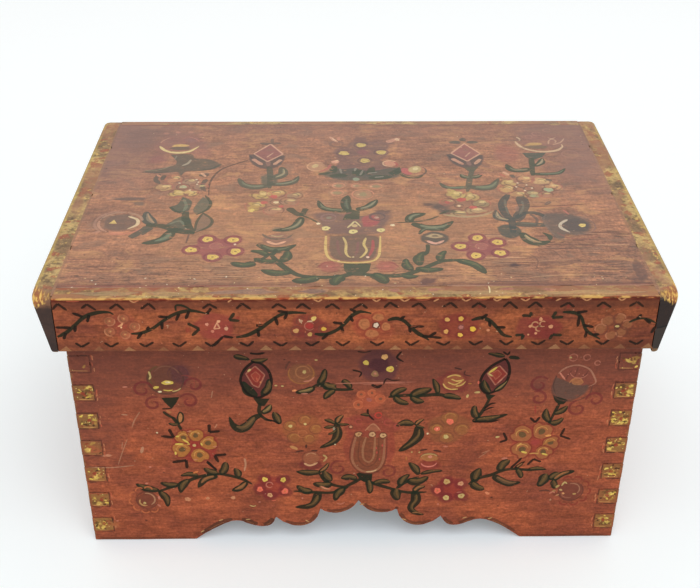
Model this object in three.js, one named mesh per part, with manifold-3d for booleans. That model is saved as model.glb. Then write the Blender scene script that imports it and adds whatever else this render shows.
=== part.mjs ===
// A painted wooden box with a pin-hinged lid, all sizes in millimetres.
// X runs along the front from left to right, Y from front to back and Z up from the floor.
// The body is four boards dovetailed at the corners round a nailed bottom. The lid is a panel
// between two tapered side cleats, with a front apron, and it turns on two iron pins that go
// through the cleats into the side boards.

import * as THREE from 'three';
import { mergeVertices } from 'three/addons/utils/BufferGeometryUtils.js';
import Module from 'manifold-3d';

const wasm = await Module();
wasm.setup();

// Body
const bodyWidth = 315;
const bodyDepth = 219.5;
const bodyHeight = 168;
const boardThickness = 11.7;
const bottomThickness = 10;
const bottomAboveSkirt = 3;
const tongueDepth = 4.5;
const tongueSetback = 9;

// Corner dovetails: tails on the side boards, sockets in the front and back boards
const bottomPinHeight = 7.5;
const tailHeight = 10.4;
const pinHeight = 9.25;
const leastTopPin = 9;
const tailTaper = 1.4;

// Shaped lower edges
const skirtHalfSpan = 100;
const skirtRise = 30;
const skirtOffset = 2.5;
const sideFootLength = 41;
const sideArchRise = 14;
const sideArchRun = 26;

// Lid
const panelThickness = 11.7;
const apronThickness = 11.7;
const cleatTopWidth = 11.7;
const cleatBottomWidth = 4.2;
const cleatArrisRadius = 2.6;
const cleatLowerRadius = 1.6;
const repairDrop = 1.6;
const rearOverhang = 2.5;
const apronArrisRadius = 1.3;
const panelRearRadius = 2;

// Worn ends of the cleats
const frontWearLength = 17;
const frontWearShare = 0.24;
const frontWearReach = 7;
const frontWearDrop = 4.2;
const rearCornerRadius = 5;
const rearWearShare = 0.42;
const rearWearDrop = 1.6;

// Hinge pins
const hingePinRadius = 1.8;
const hingePinHeadRadius = 4;
const hingePinHeadHeight = 1.4;
const hingePinBite = 9;
const hingeWall = 0.7;
const hingeExtraDrop = 0.6;
const cleatBelowPin = 5.6;

// Nails
const nailRadius = 1.2;
const nailHeadRadius = 2.8;
const nailHeadHeight = 0.9;
const nailBite = 14;
const nailLetIn = 0.5;
const cleatLetIn = 0.9;

// Clearances
const jointGap = 0.3;
const boreClearance = 0.3;
const seatGap = 0.3;
const cleatClearance = 0.8;
const apronClearance = 0.3;
const seamGap = 0.3;

// One overrun serves every cut
const overrun = 3;

// Shares of the length that they follow
const bottomNailShares = [0.17, 0.5, 0.83];
const backNailShares = [0.16, 0.5, 0.84];
const cleatNailShares = [0.13, 0.47, 0.8];
const apronNailShare = 0.5;
const sideArchEaseShare = 0.45;
// Half of the front skirt, from the middle cusp outwards: two handles and an end for each curve,
// across as shares of the half span and up as shares of the rise
const skirtCurveShares = [
  [0.05, 0.62, 0.19, 0.62, 0.228, 0.79],
  [0.248, 0.22, 0.42, 0.25, 0.495, 0.575],
  [0.52, 0.40, 0.545, 0.30, 0.60, 0.335],
  [0.65, 0.365, 0.68, 0.49, 0.735, 0.49],
  [0.82, 0.49, 0.91, 0.20, 0.985, 0],
];

// Facets
const curveSteps = 7;
const roundSides = 8;
const arrisSteps = 4;

// Derived sizes
const tailPitch = tailHeight + pinHeight;
const tailCount = Math.floor((bodyHeight - bottomPinHeight - leastTopPin + pinHeight) / tailPitch);
const shoulder = boardThickness + jointGap;
const bottomRise = skirtRise + bottomAboveSkirt;
const hingeInset = shoulder + hingeWall + hingePinRadius + boreClearance;
const hingeDrop = hingeInset + hingeExtraDrop;
const apronHeight = panelThickness + seatGap + hingeDrop + cleatBelowPin;
const lidHalfWidth = bodyWidth / 2 + cleatClearance + cleatTopWidth;
const lidDepth = apronThickness + apronClearance + bodyDepth + rearOverhang;
const cleatLean = (cleatTopWidth - cleatBottomWidth) / apronHeight;
const cleatInside = lidHalfWidth - cleatTopWidth;

// The body is drawn from the front board's face, the lid from the apron's face and its underside
const bodyOrigin = new THREE.Vector3(0, apronThickness + apronClearance - lidDepth / 2, 0);
const lidOrigin = new THREE.Vector3(0, -lidDepth / 2, bodyHeight + seatGap);

const X = new THREE.Vector3(1, 0, 0);
const Y = new THREE.Vector3(0, 1, 0);
const Z = new THREE.Vector3(0, 0, 1);
// An outline drawn in Y and Z that thickens along X, and one in X and Z that thickens towards -Y
const acrossX = new THREE.Matrix4().makeBasis(Y, Z, X);
const acrossY = new THREE.Matrix4().makeBasis(X, Z, Y.clone().negate());

const paintedWood = new THREE.MeshStandardMaterial({ color: 0x96503c, roughness: 0.55, metalness: 0 });
const lidWood = new THREE.MeshStandardMaterial({ color: 0xb07a5c, roughness: 0.5, metalness: 0 });
const darkWood = new THREE.MeshStandardMaterial({ color: 0x41342f, roughness: 0.6, metalness: 0 });
const bareWood = new THREE.MeshStandardMaterial({ color: 0xa9794e, roughness: 0.75, metalness: 0 });
const iron = new THREE.MeshStandardMaterial({ color: 0x3a3430, roughness: 0.6, metalness: 0.8 });

function thicken(outline, thickness, basis, start) {
  const geometry = new THREE.ExtrudeGeometry(outline, {
    depth: thickness,
    bevelEnabled: false,
    curveSegments: curveSteps,
  });
  geometry.applyMatrix4(basis);
  geometry.translate(start.x, start.y, start.z);
  return geometry;
}

function toSolid(geometry) {
  const bare = geometry.clone();
  bare.deleteAttribute('normal');
  bare.deleteAttribute('uv');
  const merged = mergeVertices(bare);
  const mesh = new wasm.Mesh({
    numProp: 3,
    vertProperties: new Float32Array(merged.attributes.position.array),
    triVerts: new Uint32Array(merged.index.array),
  });
  return new wasm.Manifold(mesh);
}

function toGeometry(solid) {
  const mesh = solid.getMesh();
  const geometry = new THREE.BufferGeometry();
  geometry.setAttribute('position', new THREE.BufferAttribute(mesh.vertProperties, 3));
  geometry.setIndex(new THREE.BufferAttribute(mesh.triVerts, 1));
  const faceted = geometry.toNonIndexed();
  faceted.computeVertexNormals();
  return faceted;
}

function cut(geometry, cutters) {
  const solid = cutters.reduce((left, cutter) => left.subtract(toSolid(cutter)), toSolid(geometry));
  return toGeometry(solid);
}

function mirroredInX(geometry) {
  const mirrored = geometry.toNonIndexed();
  const position = mirrored.attributes.position;
  for (let i = 0; i < position.count; i += 3) {
    const first = new THREE.Vector3().fromBufferAttribute(position, i);
    const last = new THREE.Vector3().fromBufferAttribute(position, i + 2);
    position.setXYZ(i, -last.x, last.y, last.z);
    position.setX(i + 1, -position.getX(i + 1));
    position.setXYZ(i + 2, -first.x, first.y, first.z);
  }
  mirrored.computeVertexNormals();
  return mirrored;
}

// A nail or pin: its place is the underside of its head, and out points from the wood to the head

function fastener(name, place, out, size) {
  return { name, place, out, ...size };
}

function fastenerPlacement(item) {
  const turn = new THREE.Quaternion().setFromUnitVectors(Y, item.out);
  return new THREE.Matrix4().compose(item.place, turn, new THREE.Vector3(1, 1, 1));
}

function fastenerMesh(item) {
  const tip = item.radius * item.tipShare;
  const profile = [
    new THREE.Vector2(0, -item.length),
    new THREE.Vector2(tip, -item.length),
    new THREE.Vector2(item.radius, -item.length * item.shankShare),
    new THREE.Vector2(item.radius, 0),
    new THREE.Vector2(item.headRadius, 0),
    new THREE.Vector2(item.headRadius, item.headHeight * item.rimShare),
    new THREE.Vector2(item.headRadius * item.crownShare, item.headHeight),
    new THREE.Vector2(0, item.headHeight),
  ];
  const mesh = new THREE.Mesh(new THREE.LatheGeometry(profile, roundSides), iron);
  mesh.name = item.name;
  mesh.applyMatrix4(fastenerPlacement(item));
  return mesh;
}

function cylinderBetween(radius, from, to) {
  const geometry = new THREE.CylinderGeometry(radius, radius, to - from, roundSides);
  geometry.translate(0, (from + to) / 2, 0);
  return geometry;
}

function boresFor(item, shift = new THREE.Vector3()) {
  const shank = cylinderBetween(item.radius + boreClearance, -item.length - boreClearance, overrun);
  const head = cylinderBetween(item.headRadius + boreClearance, -boreClearance, item.headHeight + overrun);
  return [shank, head].map((bore) => {
    bore.applyMatrix4(fastenerPlacement(item));
    bore.translate(shift.x, shift.y, shift.z);
    return bore;
  });
}

const nailShape = {
  radius: nailRadius,
  headRadius: nailHeadRadius,
  headHeight: nailHeadHeight,
  tipShare: 0.35,
  shankShare: 0.7,
  rimShare: 0.35,
  crownShare: 0.6,
};

const hingePinShape = {
  radius: hingePinRadius,
  headRadius: hingePinHeadRadius,
  headHeight: hingePinHeadHeight,
  tipShare: 0.8,
  shankShare: 0.9,
  rimShare: 0.35,
  crownShare: 0.55,
};

function sideName(side) {
  return side < 0 ? 'left' : 'right';
}

function bottomNails(side) {
  const height = bottomRise + bottomThickness / 2;
  return bottomNailShares.map((share, i) => fastener(
    `${sideName(side)}_bottom_nail_${i + 1}`,
    new THREE.Vector3(side * (bodyWidth / 2 - nailLetIn), share * bodyDepth, height),
    new THREE.Vector3(side, 0, 0),
    { ...nailShape, length: boardThickness - nailLetIn + nailBite },
  ));
}

function backNails() {
  const height = bottomRise + bottomThickness / 2;
  return backNailShares.map((share, i) => fastener(
    `back_bottom_nail_${i + 1}`,
    new THREE.Vector3((share - 0.5) * bodyWidth, bodyDepth - nailLetIn, height),
    Y,
    { ...nailShape, length: boardThickness - nailLetIn + nailBite },
  ));
}

// The outer face of a cleat leans in towards its lower edge; heights run from the panel's underside

function cleatOutside(height) {
  return lidHalfWidth - cleatLean * (panelThickness - height);
}

function cleatNail(side, name, y, height) {
  const outside = cleatOutside(height) - cleatLetIn;
  return fastener(
    name,
    new THREE.Vector3(side * outside, y, height),
    new THREE.Vector3(side, 0, 0),
    { ...nailShape, length: outside - cleatInside + nailBite },
  );
}

function panelNails(side) {
  const start = apronThickness + seamGap;
  return cleatNailShares.map((share, i) => cleatNail(
    side,
    `${sideName(side)}_cleat_nail_${i + 1}`,
    start + share * (lidDepth - start),
    panelThickness / 2,
  ));
}

function apronNail(side) {
  const height = panelThickness - apronNailShare * apronHeight;
  return cleatNail(side, `${sideName(side)}_apron_nail`, apronThickness / 2, height);
}

function hingePin(side) {
  const height = -seatGap - hingeDrop;
  const outside = cleatOutside(height) - cleatLetIn;
  return fastener(
    `${sideName(side)}_hinge_pin`,
    new THREE.Vector3(side * outside, lidDepth - rearOverhang - hingeInset, height),
    new THREE.Vector3(side, 0, 0),
    { ...hingePinShape, length: outside - bodyWidth / 2 + hingePinBite },
  );
}

// Heights of one tail at a distance from the outer face of the board that it goes through

function tailEdges(index, distance, gap) {
  const middle = bottomPinHeight + index * tailPitch + tailHeight / 2;
  const half = tailHeight / 2 - tailTaper * (distance / boardThickness) + gap;
  return [middle - half, middle + half];
}

function tailIndices() {
  return Array.from({ length: tailCount }, (_, index) => index);
}

// Height of the top edge where it rounds over behind the hinge line

function roundedTop(distanceFromBack) {
  const share = Math.max(0, hingeInset - distanceFromBack) / hingeInset;
  return bodyHeight - hingeDrop * (1 - Math.sqrt(1 - share * share));
}

function sideOutline() {
  const outline = new THREE.Shape();
  outline.moveTo(shoulder, 0);
  tailIndices().forEach((index) => {
    const [rootLow, rootHigh] = tailEdges(index, shoulder, 0);
    const [tipLow, tipHigh] = tailEdges(index, 0, 0);
    outline.lineTo(shoulder, rootLow);
    outline.lineTo(0, tipLow);
    outline.lineTo(0, tipHigh);
    outline.lineTo(shoulder, rootHigh);
  });
  outline.lineTo(shoulder, bodyHeight);
  outline.lineTo(bodyDepth - hingeInset, bodyHeight);
  outline.lineTo(bodyDepth - shoulder, roundedTop(shoulder));
  tailIndices().reverse().forEach((index) => {
    const [rootLow, rootHigh] = tailEdges(index, shoulder, 0);
    const [tipLow, tipHigh] = tailEdges(index, 0, 0);
    outline.lineTo(bodyDepth - shoulder, rootHigh);
    outline.lineTo(bodyDepth, tipHigh);
    outline.lineTo(bodyDepth, tipLow);
    outline.lineTo(bodyDepth - shoulder, rootLow);
  });
  outline.lineTo(bodyDepth - shoulder, 0);
  addSideArch(outline);
  outline.closePath();
  return outline;
}

function addSideArch(outline) {
  const back = bodyDepth - sideFootLength;
  const ease = sideArchRun * sideArchEaseShare;
  outline.lineTo(back, 0);
  outline.bezierCurveTo(
    back - ease, 0,
    back - sideArchRun + ease, sideArchRise,
    back - sideArchRun, sideArchRise,
  );
  outline.lineTo(sideFootLength + sideArchRun, sideArchRise);
  outline.bezierCurveTo(
    sideFootLength + sideArchRun - ease, sideArchRise,
    sideFootLength + ease, 0,
    sideFootLength, 0,
  );
}

function sideBoard(side) {
  const inner = bodyWidth / 2 - boardThickness;
  const start = new THREE.Vector3(side < 0 ? -bodyWidth / 2 : inner, 0, 0);
  const plank = thicken(sideOutline(), boardThickness, acrossX, start);
  const shift = lidOrigin.clone().sub(bodyOrigin);
  const bores = bottomNails(side).flatMap((nail) => boresFor(nail));
  return cut(plank, [...bores, ...boresFor(hingePin(side), shift)]);
}

// The trapezoid that one tail passes through, open past both faces of the board

function tailSocket(index, side, atBack) {
  const outline = new THREE.Shape();
  const [outerLow, outerHigh] = tailEdges(index, -overrun, jointGap);
  const [innerLow, innerHigh] = tailEdges(index, boardThickness + overrun, jointGap);
  const outer = atBack ? bodyDepth + overrun : -overrun;
  const inner = atBack ? bodyDepth - boardThickness - overrun : boardThickness + overrun;
  outline.moveTo(outer, outerLow);
  outline.lineTo(inner, innerLow);
  outline.lineTo(inner, innerHigh);
  outline.lineTo(outer, outerHigh);
  outline.closePath();
  const depth = shoulder + overrun;
  const start = new THREE.Vector3(side < 0 ? -bodyWidth / 2 - overrun : bodyWidth / 2 - shoulder, 0, 0);
  return thicken(outline, depth, acrossX, start);
}

function tailSockets(atBack) {
  return [-1, 1].flatMap((side) => tailIndices().map((index) => tailSocket(index, side, atBack)));
}

function skirtPoint(side, across, up) {
  return [skirtOffset + side * across * skirtHalfSpan, up * skirtRise];
}

function addFrontSkirt(outline) {
  const [leftFoot] = skirtPoint(-1, skirtCurveShares.at(-1)[4], 0);
  outline.lineTo(leftFoot, 0);
  const starts = [[0, 1], ...skirtCurveShares.map((curve) => curve.slice(4))];
  skirtCurveShares.map((curve, i) => [curve, starts[i]]).reverse().forEach(([curve, start]) => {
    const [nearX, nearUp, farX, farUp] = curve;
    outline.bezierCurveTo(
      ...skirtPoint(-1, farX, farUp),
      ...skirtPoint(-1, nearX, nearUp),
      ...skirtPoint(-1, ...start),
    );
  });
  skirtCurveShares.forEach(([nearX, nearUp, farX, farUp, endX, endUp]) => {
    outline.bezierCurveTo(
      ...skirtPoint(1, nearX, nearUp),
      ...skirtPoint(1, farX, farUp),
      ...skirtPoint(1, endX, endUp),
    );
  });
}

function frontBoard() {
  const outline = new THREE.Shape();
  outline.moveTo(-bodyWidth / 2, bodyHeight);
  outline.lineTo(-bodyWidth / 2, 0);
  addFrontSkirt(outline);
  outline.lineTo(bodyWidth / 2, 0);
  outline.lineTo(bodyWidth / 2, bodyHeight);
  outline.closePath();
  const plank = thicken(outline, boardThickness, acrossY, new THREE.Vector3(0, boardThickness, 0));
  return cut(plank, [...tailSockets(false), tongueGroove()]);
}

// The stopped groove inside the front board that takes the tongue of the bottom

function tongueHalfLength() {
  return bodyWidth / 2 - shoulder - tongueSetback;
}

function tongueGroove() {
  const height = bottomThickness + 2 * jointGap;
  const depth = tongueDepth + overrun;
  const length = 2 * (tongueHalfLength() + jointGap);
  const groove = new THREE.BoxGeometry(length, depth, height);
  const front = boardThickness - tongueDepth;
  groove.translate(0, front + depth / 2, bottomRise + bottomThickness / 2);
  return groove;
}

function backBoard() {
  const inner = bodyDepth - boardThickness;
  const sweep = Math.acos((hingeInset - boardThickness) / hingeInset);
  const outline = new THREE.Shape();
  outline.moveTo(inner, 0);
  outline.lineTo(bodyDepth, 0);
  outline.lineTo(bodyDepth, bodyHeight - hingeDrop);
  outline.absellipse(
    bodyDepth - hingeInset,
    bodyHeight - hingeDrop,
    hingeInset,
    hingeDrop,
    0,
    sweep,
    false,
  );
  outline.closePath();
  const plank = thicken(outline, bodyWidth, acrossX, new THREE.Vector3(-bodyWidth / 2, 0, 0));
  return cut(plank, [...tailSockets(true), ...backNails().flatMap((nail) => boresFor(nail))]);
}

function bottomBoard() {
  const half = bodyWidth / 2 - shoulder;
  const tongue = tongueHalfLength();
  const outline = new THREE.Shape();
  outline.moveTo(-half, shoulder);
  outline.lineTo(-tongue, shoulder);
  outline.lineTo(-tongue, shoulder - tongueDepth);
  outline.lineTo(tongue, shoulder - tongueDepth);
  outline.lineTo(tongue, shoulder);
  outline.lineTo(half, shoulder);
  outline.lineTo(half, bodyDepth - shoulder);
  outline.lineTo(-half, bodyDepth - shoulder);
  outline.closePath();
  const upright = new THREE.Matrix4();
  const plank = thicken(outline, bottomThickness, upright, new THREE.Vector3(0, 0, bottomRise));
  const nails = [...bottomNails(-1), ...bottomNails(1), ...backNails()];
  return cut(plank, nails.flatMap((nail) => boresFor(nail)));
}

function lidPanel() {
  const front = apronThickness + seamGap;
  const outline = new THREE.Shape();
  outline.moveTo(front, 0);
  outline.lineTo(lidDepth, 0);
  outline.lineTo(lidDepth, panelThickness - panelRearRadius);
  outline.absarc(
    lidDepth - panelRearRadius,
    panelThickness - panelRearRadius,
    panelRearRadius,
    0,
    Math.PI / 2,
    false,
  );
  outline.lineTo(front, panelThickness);
  outline.closePath();
  const half = cleatInside - seamGap;
  const plank = thicken(outline, 2 * half, acrossX, new THREE.Vector3(-half, 0, 0));
  const nails = [...panelNails(-1), ...panelNails(1)];
  return cut(plank, nails.flatMap((nail) => boresFor(nail)));
}

function lidApron() {
  const lower = panelThickness - apronHeight;
  const outline = new THREE.Shape();
  outline.moveTo(0, lower + apronArrisRadius);
  outline.quadraticCurveTo(0, lower, apronArrisRadius, lower);
  outline.lineTo(apronThickness, lower);
  outline.lineTo(apronThickness, panelThickness);
  outline.lineTo(apronArrisRadius, panelThickness);
  outline.quadraticCurveTo(0, panelThickness, 0, panelThickness - apronArrisRadius);
  outline.closePath();
  const half = cleatInside - seamGap;
  const plank = thicken(outline, 2 * half, acrossX, new THREE.Vector3(-half, 0, 0));
  return cut(plank, [...boresFor(apronNail(-1)), ...boresFor(apronNail(1))]);
}

// How far a worn end has gone: 1 at the end itself, falling round a quarter circle to 0

function worn(distance, length) {
  const left = Math.max(0, 1 - distance / length);
  return 1 - Math.sqrt(1 - left * left);
}

// One section of the right cleat, square to Y, going round from the lower inside corner

function cleatSection(y, height) {
  const rear = lidDepth - y;
  const kept = 1 - frontWearShare * worn(y, frontWearLength) - rearWearShare * worn(rear, rearCornerRadius);
  const drop = frontWearDrop * worn(y, frontWearReach) + rearWearDrop * worn(rear, rearCornerRadius);
  const top = panelThickness - drop;
  const lower = panelThickness - height;
  const outside = (z) => cleatInside + kept * (cleatOutside(z) - cleatInside);
  const outline = new THREE.Shape();
  outline.moveTo(cleatInside, lower);
  outline.lineTo(outside(lower) - cleatLowerRadius, lower);
  outline.quadraticCurveTo(
    outside(lower), lower,
    outside(lower + cleatLowerRadius), lower + cleatLowerRadius,
  );
  outline.lineTo(outside(top - cleatArrisRadius), top - cleatArrisRadius);
  outline.quadraticCurveTo(outside(top), top, outside(top) - cleatArrisRadius, top);
  outline.lineTo(cleatInside, top);
  return outline.getPoints(arrisSteps).map((point) => new THREE.Vector3(point.x, y, point.y));
}

// Joins rings of equal count into one closed body, with a fan at each end

function loft(rings) {
  const count = rings[0].length;
  const index = [];
  for (let ring = 0; ring + 1 < rings.length; ring += 1) {
    for (let i = 0; i < count; i += 1) {
      const next = (i + 1) % count;
      const a = ring * count + i;
      const b = ring * count + next;
      index.push(a, b, b + count, a, b + count, a + count);
    }
  }
  const last = (rings.length - 1) * count;
  for (let i = 1; i + 1 < count; i += 1) {
    index.push(0, i + 1, i);
    index.push(last, last + i, last + i + 1);
  }
  const geometry = new THREE.BufferGeometry().setFromPoints(rings.flat());
  geometry.setIndex(index.reverse());
  return geometry;
}

const frontStationShares = [0, 0.04, 0.1, 0.2, 0.32, 0.45, 0.65, 1];
const rearStationShares = [1, 0.6, 0.3, 0.12, 0];

function lidCleat(side) {
  const height = apronHeight + (side > 0 ? repairDrop : 0);
  const stations = [
    ...frontStationShares.map((share) => share * frontWearLength),
    ...rearStationShares.map((share) => lidDepth - share * rearCornerRadius),
  ];
  const right = loft(stations.map((y) => cleatSection(y, height)));
  const blank = side > 0 ? right : mirroredInX(right);
  const nails = [...panelNails(side), apronNail(side), hingePin(side)];
  return cut(blank, nails.flatMap((nail) => boresFor(nail)));
}

function piece(name, geometry, material) {
  const mesh = new THREE.Mesh(geometry, material);
  mesh.name = name;
  return mesh;
}

function body() {
  const group = new THREE.Group();
  group.add(piece('front_board', frontBoard(), paintedWood));
  group.add(piece('back_board', backBoard(), paintedWood));
  group.add(piece('left_side_board', sideBoard(-1), paintedWood));
  group.add(piece('right_side_board', sideBoard(1), paintedWood));
  group.add(piece('bottom_board', bottomBoard(), bareWood));
  [...bottomNails(-1), ...bottomNails(1), ...backNails()].forEach((nail) => group.add(fastenerMesh(nail)));
  group.position.copy(bodyOrigin);
  return group;
}

function lid() {
  const group = new THREE.Group();
  group.add(piece('lid_panel', lidPanel(), lidWood));
  group.add(piece('lid_apron', lidApron(), paintedWood));
  [-1, 1].forEach((side) => {
    group.add(piece(`lid_${sideName(side)}_cleat`, lidCleat(side), darkWood));
    [...panelNails(side), apronNail(side), hingePin(side)].forEach((item) => group.add(fastenerMesh(item)));
  });
  group.position.copy(lidOrigin);
  return group;
}

const box = new THREE.Group();
box.add(body());
box.add(lid());

export default box;
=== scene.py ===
"""Looks of the painted wooden box: paint, brushwork, wear, floor, light and camera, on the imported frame."""

import math
import random

import bpy
from mathutils import Matrix, Vector
from mathutils.bvhtree import BVHTree
from mathutils.interpolate import poly_3d_calc


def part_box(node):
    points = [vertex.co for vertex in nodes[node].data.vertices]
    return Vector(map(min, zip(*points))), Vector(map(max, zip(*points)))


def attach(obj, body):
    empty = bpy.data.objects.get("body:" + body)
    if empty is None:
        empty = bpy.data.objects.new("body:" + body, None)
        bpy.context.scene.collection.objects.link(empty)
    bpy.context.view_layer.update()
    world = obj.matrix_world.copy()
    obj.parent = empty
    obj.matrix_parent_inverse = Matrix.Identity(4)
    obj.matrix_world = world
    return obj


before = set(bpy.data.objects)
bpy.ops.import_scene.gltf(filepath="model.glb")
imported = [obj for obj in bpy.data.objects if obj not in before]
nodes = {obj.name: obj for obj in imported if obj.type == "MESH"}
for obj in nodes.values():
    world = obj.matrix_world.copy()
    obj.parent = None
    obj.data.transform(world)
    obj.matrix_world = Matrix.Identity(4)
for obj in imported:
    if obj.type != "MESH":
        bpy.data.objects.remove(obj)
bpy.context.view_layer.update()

MM = 0.001

# Faces that carry brushwork, read from the frame (mm)
panel_low, panel_high = (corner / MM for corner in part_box("lid_panel"))
apron_low, apron_high = (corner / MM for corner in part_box("lid_apron"))
front_low, front_high = (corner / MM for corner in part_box("front_board"))
side_low, side_high = (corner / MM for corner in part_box("left_side_board"))
back_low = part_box("back_board")[0] / MM
cleat_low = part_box("lid_left_cleat")[0] / MM
LID_TOP = panel_high.z
LID_FRONT = apron_low.y
LID_BACK = panel_high.y
FRONT_FACE = front_low.y
INSIDE_X = -side_high.x
OUTSIDE_X = -side_low.x
CLEAT_X = -cleat_low.x
INSIDE_FRONT = front_high.y
INSIDE_BACK = back_low.y
PANEL_UNDER = panel_low.z
APRON_REAR = apron_high.y
SEAM_X = panel_high.x

# Camera: centre (m), turns (rad) and focal length (mm) fitted to the outlines in the photo
CAMERA_AT = (-0.0111755, -0.6089453, 0.4854426)
CAMERA_YAW = 0.015885
CAMERA_PITCH = 0.552054
CAMERA_ROLL = -0.0040224
CAMERA_LENS = 57.57
SENSOR = 36
CLIP = (0.01, 50)

# Light and floor: levels, places (m), sizes (m), power (W) and colours
WORLD_LEVEL = 0.66
KEY_AT = (0.15, -1, 1.7)
KEY_SIZE = 1.3
KEY_POWER = 15
KEY_TARGET = (0, 0, 0.08)
KEY_COLOUR = (1, 0.995, 0.985)
ROOM_COLOUR = (0.985, 0.997, 1, 1)
SEEN_COLOUR = (1, 1, 1, 1)
FLOOR_HALF = 4
FLOOR_DROP = 0.0002
FLOOR_GLOW = 0.21
GLOW_COLOUR = (0.95, 1, 1, 1)
FLOOR_NEAR = (237, 242, 243)
FLOOR_FAR = (252, 253, 253)
FLOOR_UNDER_BOX_SHADE = (208, 221, 234)


def srgb(colour):
    """Colour written as 0 to 255 display values, as linear numbers."""
    shares = [channel / 255 for channel in colour]
    return tuple(
        share / 12.92 if share <= 0.04045 else ((share + 0.055) / 1.055) ** 2.4 for share in shares
    )


class Value:
    """A number that a node puts out. Sums and products with it become maths nodes."""

    def __init__(self, look, socket):
        self.look = look
        self.socket = socket

    def __add__(self, other):
        return self.look.maths("ADD", self, other)

    def __radd__(self, other):
        return self.look.maths("ADD", other, self)

    def __sub__(self, other):
        return self.look.maths("SUBTRACT", self, other)

    def __rsub__(self, other):
        return self.look.maths("SUBTRACT", other, self)

    def __mul__(self, other):
        return self.look.maths("MULTIPLY", self, other)

    def __abs__(self):
        return self.look.maths("ABSOLUTE", self)


class Look:
    """A material and short ways to add and join its nodes."""

    def __init__(self, name):
        self.material = bpy.data.materials.new(name)
        self.material.use_nodes = True
        self.tree = self.material.node_tree
        self.tree.nodes.clear()
        self.output = self.tree.nodes.new("ShaderNodeOutputMaterial")
        self.shader = self.tree.nodes.new("ShaderNodeBsdfPrincipled")
        self.tree.links.new(self.shader.outputs[0], self.output.inputs["Surface"])
        place = self.tree.nodes.new("ShaderNodeTexCoord").outputs["Object"]
        self.place = self.vector("SCALE", place, scale=1 / MM)
        parts = self.tree.nodes.new("ShaderNodeSeparateXYZ")
        self.tree.links.new(self.place, parts.inputs[0])
        self.x, self.y, self.z = (Value(self, part) for part in parts.outputs)

    def put(self, socket, value):
        """Gives a socket a node's output, a colour or a number."""
        if isinstance(value, Value):
            value = value.socket
        if isinstance(value, bpy.types.NodeSocket):
            self.tree.links.new(value, socket)
        elif isinstance(value, tuple) and len(value) == 3 and socket.type == "RGBA":
            socket.default_value = (*srgb(value), 1)
        else:
            socket.default_value = value

    def vector(self, operation, first, second=None, scale=None):
        node = self.tree.nodes.new("ShaderNodeVectorMath")
        node.operation = operation
        self.put(node.inputs[0], first)
        if second is not None:
            self.put(node.inputs[1], second)
        if scale is not None:
            self.put(node.inputs["Scale"], scale)
        return node.outputs[0]

    def maths(self, operation, first, second=0):
        node = self.tree.nodes.new("ShaderNodeMath")
        node.operation = operation
        self.put(node.inputs[0], first)
        self.put(node.inputs[1], second)
        return Value(self, node.outputs[0])

    def step(self, value, low, high):
        """0 below low, 1 above high, smooth between (low may be above high)."""
        node = self.tree.nodes.new("ShaderNodeMapRange")
        node.interpolation_type = "SMOOTHSTEP"
        self.put(node.inputs["Value"], value)
        self.put(node.inputs["From Min"], low)
        self.put(node.inputs["From Max"], high)
        return Value(self, node.outputs[0])

    def both(self, *masks):
        result = masks[0]
        for mask in masks[1:]:
            result = self.maths("MULTIPLY", result, mask)
        return result

    def either(self, *masks):
        result = masks[0]
        for mask in masks[1:]:
            result = self.maths("MAXIMUM", result, mask)
        return result

    def noise(self, size, detail=3, rough=0.55, seed=0, warp=0):
        """Noise whose patches are about size mm along X, Y and Z."""
        stretched = self.vector("MULTIPLY", self.place, tuple(1 / part for part in size))
        moved = self.vector("ADD", stretched, (seed, seed * 1.7, seed * 0.6))
        node = self.tree.nodes.new("ShaderNodeTexNoise")
        self.put(node.inputs["Vector"], moved)
        node.inputs["Scale"].default_value = 1
        node.inputs["Detail"].default_value = detail
        node.inputs["Roughness"].default_value = rough
        node.inputs["Distortion"].default_value = warp
        return Value(self, node.outputs[0])

    def mix(self, share, first, second):
        """The first colour where share is 0, the second where it is 1."""
        node = self.tree.nodes.new("ShaderNodeMix")
        node.data_type = "RGBA"
        self.put(node.inputs[0], share)
        self.put(node.inputs[6], first)
        self.put(node.inputs[7], second)
        return node.outputs[2]

    def light(self, colour, level):
        """Colour times a grey level."""
        return self.vector("SCALE", colour, scale=level)

    def level(self, value, low, high, centre=0.5, spread=0.22):
        """A noise value as a level between low and high."""
        node = self.tree.nodes.new("ShaderNodeMapRange")
        self.put(node.inputs["Value"], value)
        node.inputs["From Min"].default_value = centre - spread
        node.inputs["From Max"].default_value = centre + spread
        self.put(node.inputs["To Min"], low)
        self.put(node.inputs["To Max"], high)
        return Value(self, node.outputs[0])

    def between(self, axis, low, high, soft=0.4):
        """1 where axis is from low to high mm."""
        return self.both(self.step(axis, low - soft, low + soft), self.step(axis, high + soft, high - soft))

    def bump(self, height, depth):
        node = self.tree.nodes.new("ShaderNodeBump")
        node.inputs["Distance"].default_value = depth * MM
        self.put(node.inputs["Height"], height)
        self.tree.links.new(node.outputs[0], self.shader.inputs["Normal"])

    def finish(self, colour, rough, height=None, depth=0.1, gloss=0.5):
        self.put(self.shader.inputs["Base Color"], colour)
        self.put(self.shader.inputs["Roughness"], rough)
        self.shader.inputs["Specular IOR Level"].default_value = gloss
        if height is not None:
            self.bump(height, depth)
        return self.material


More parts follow.
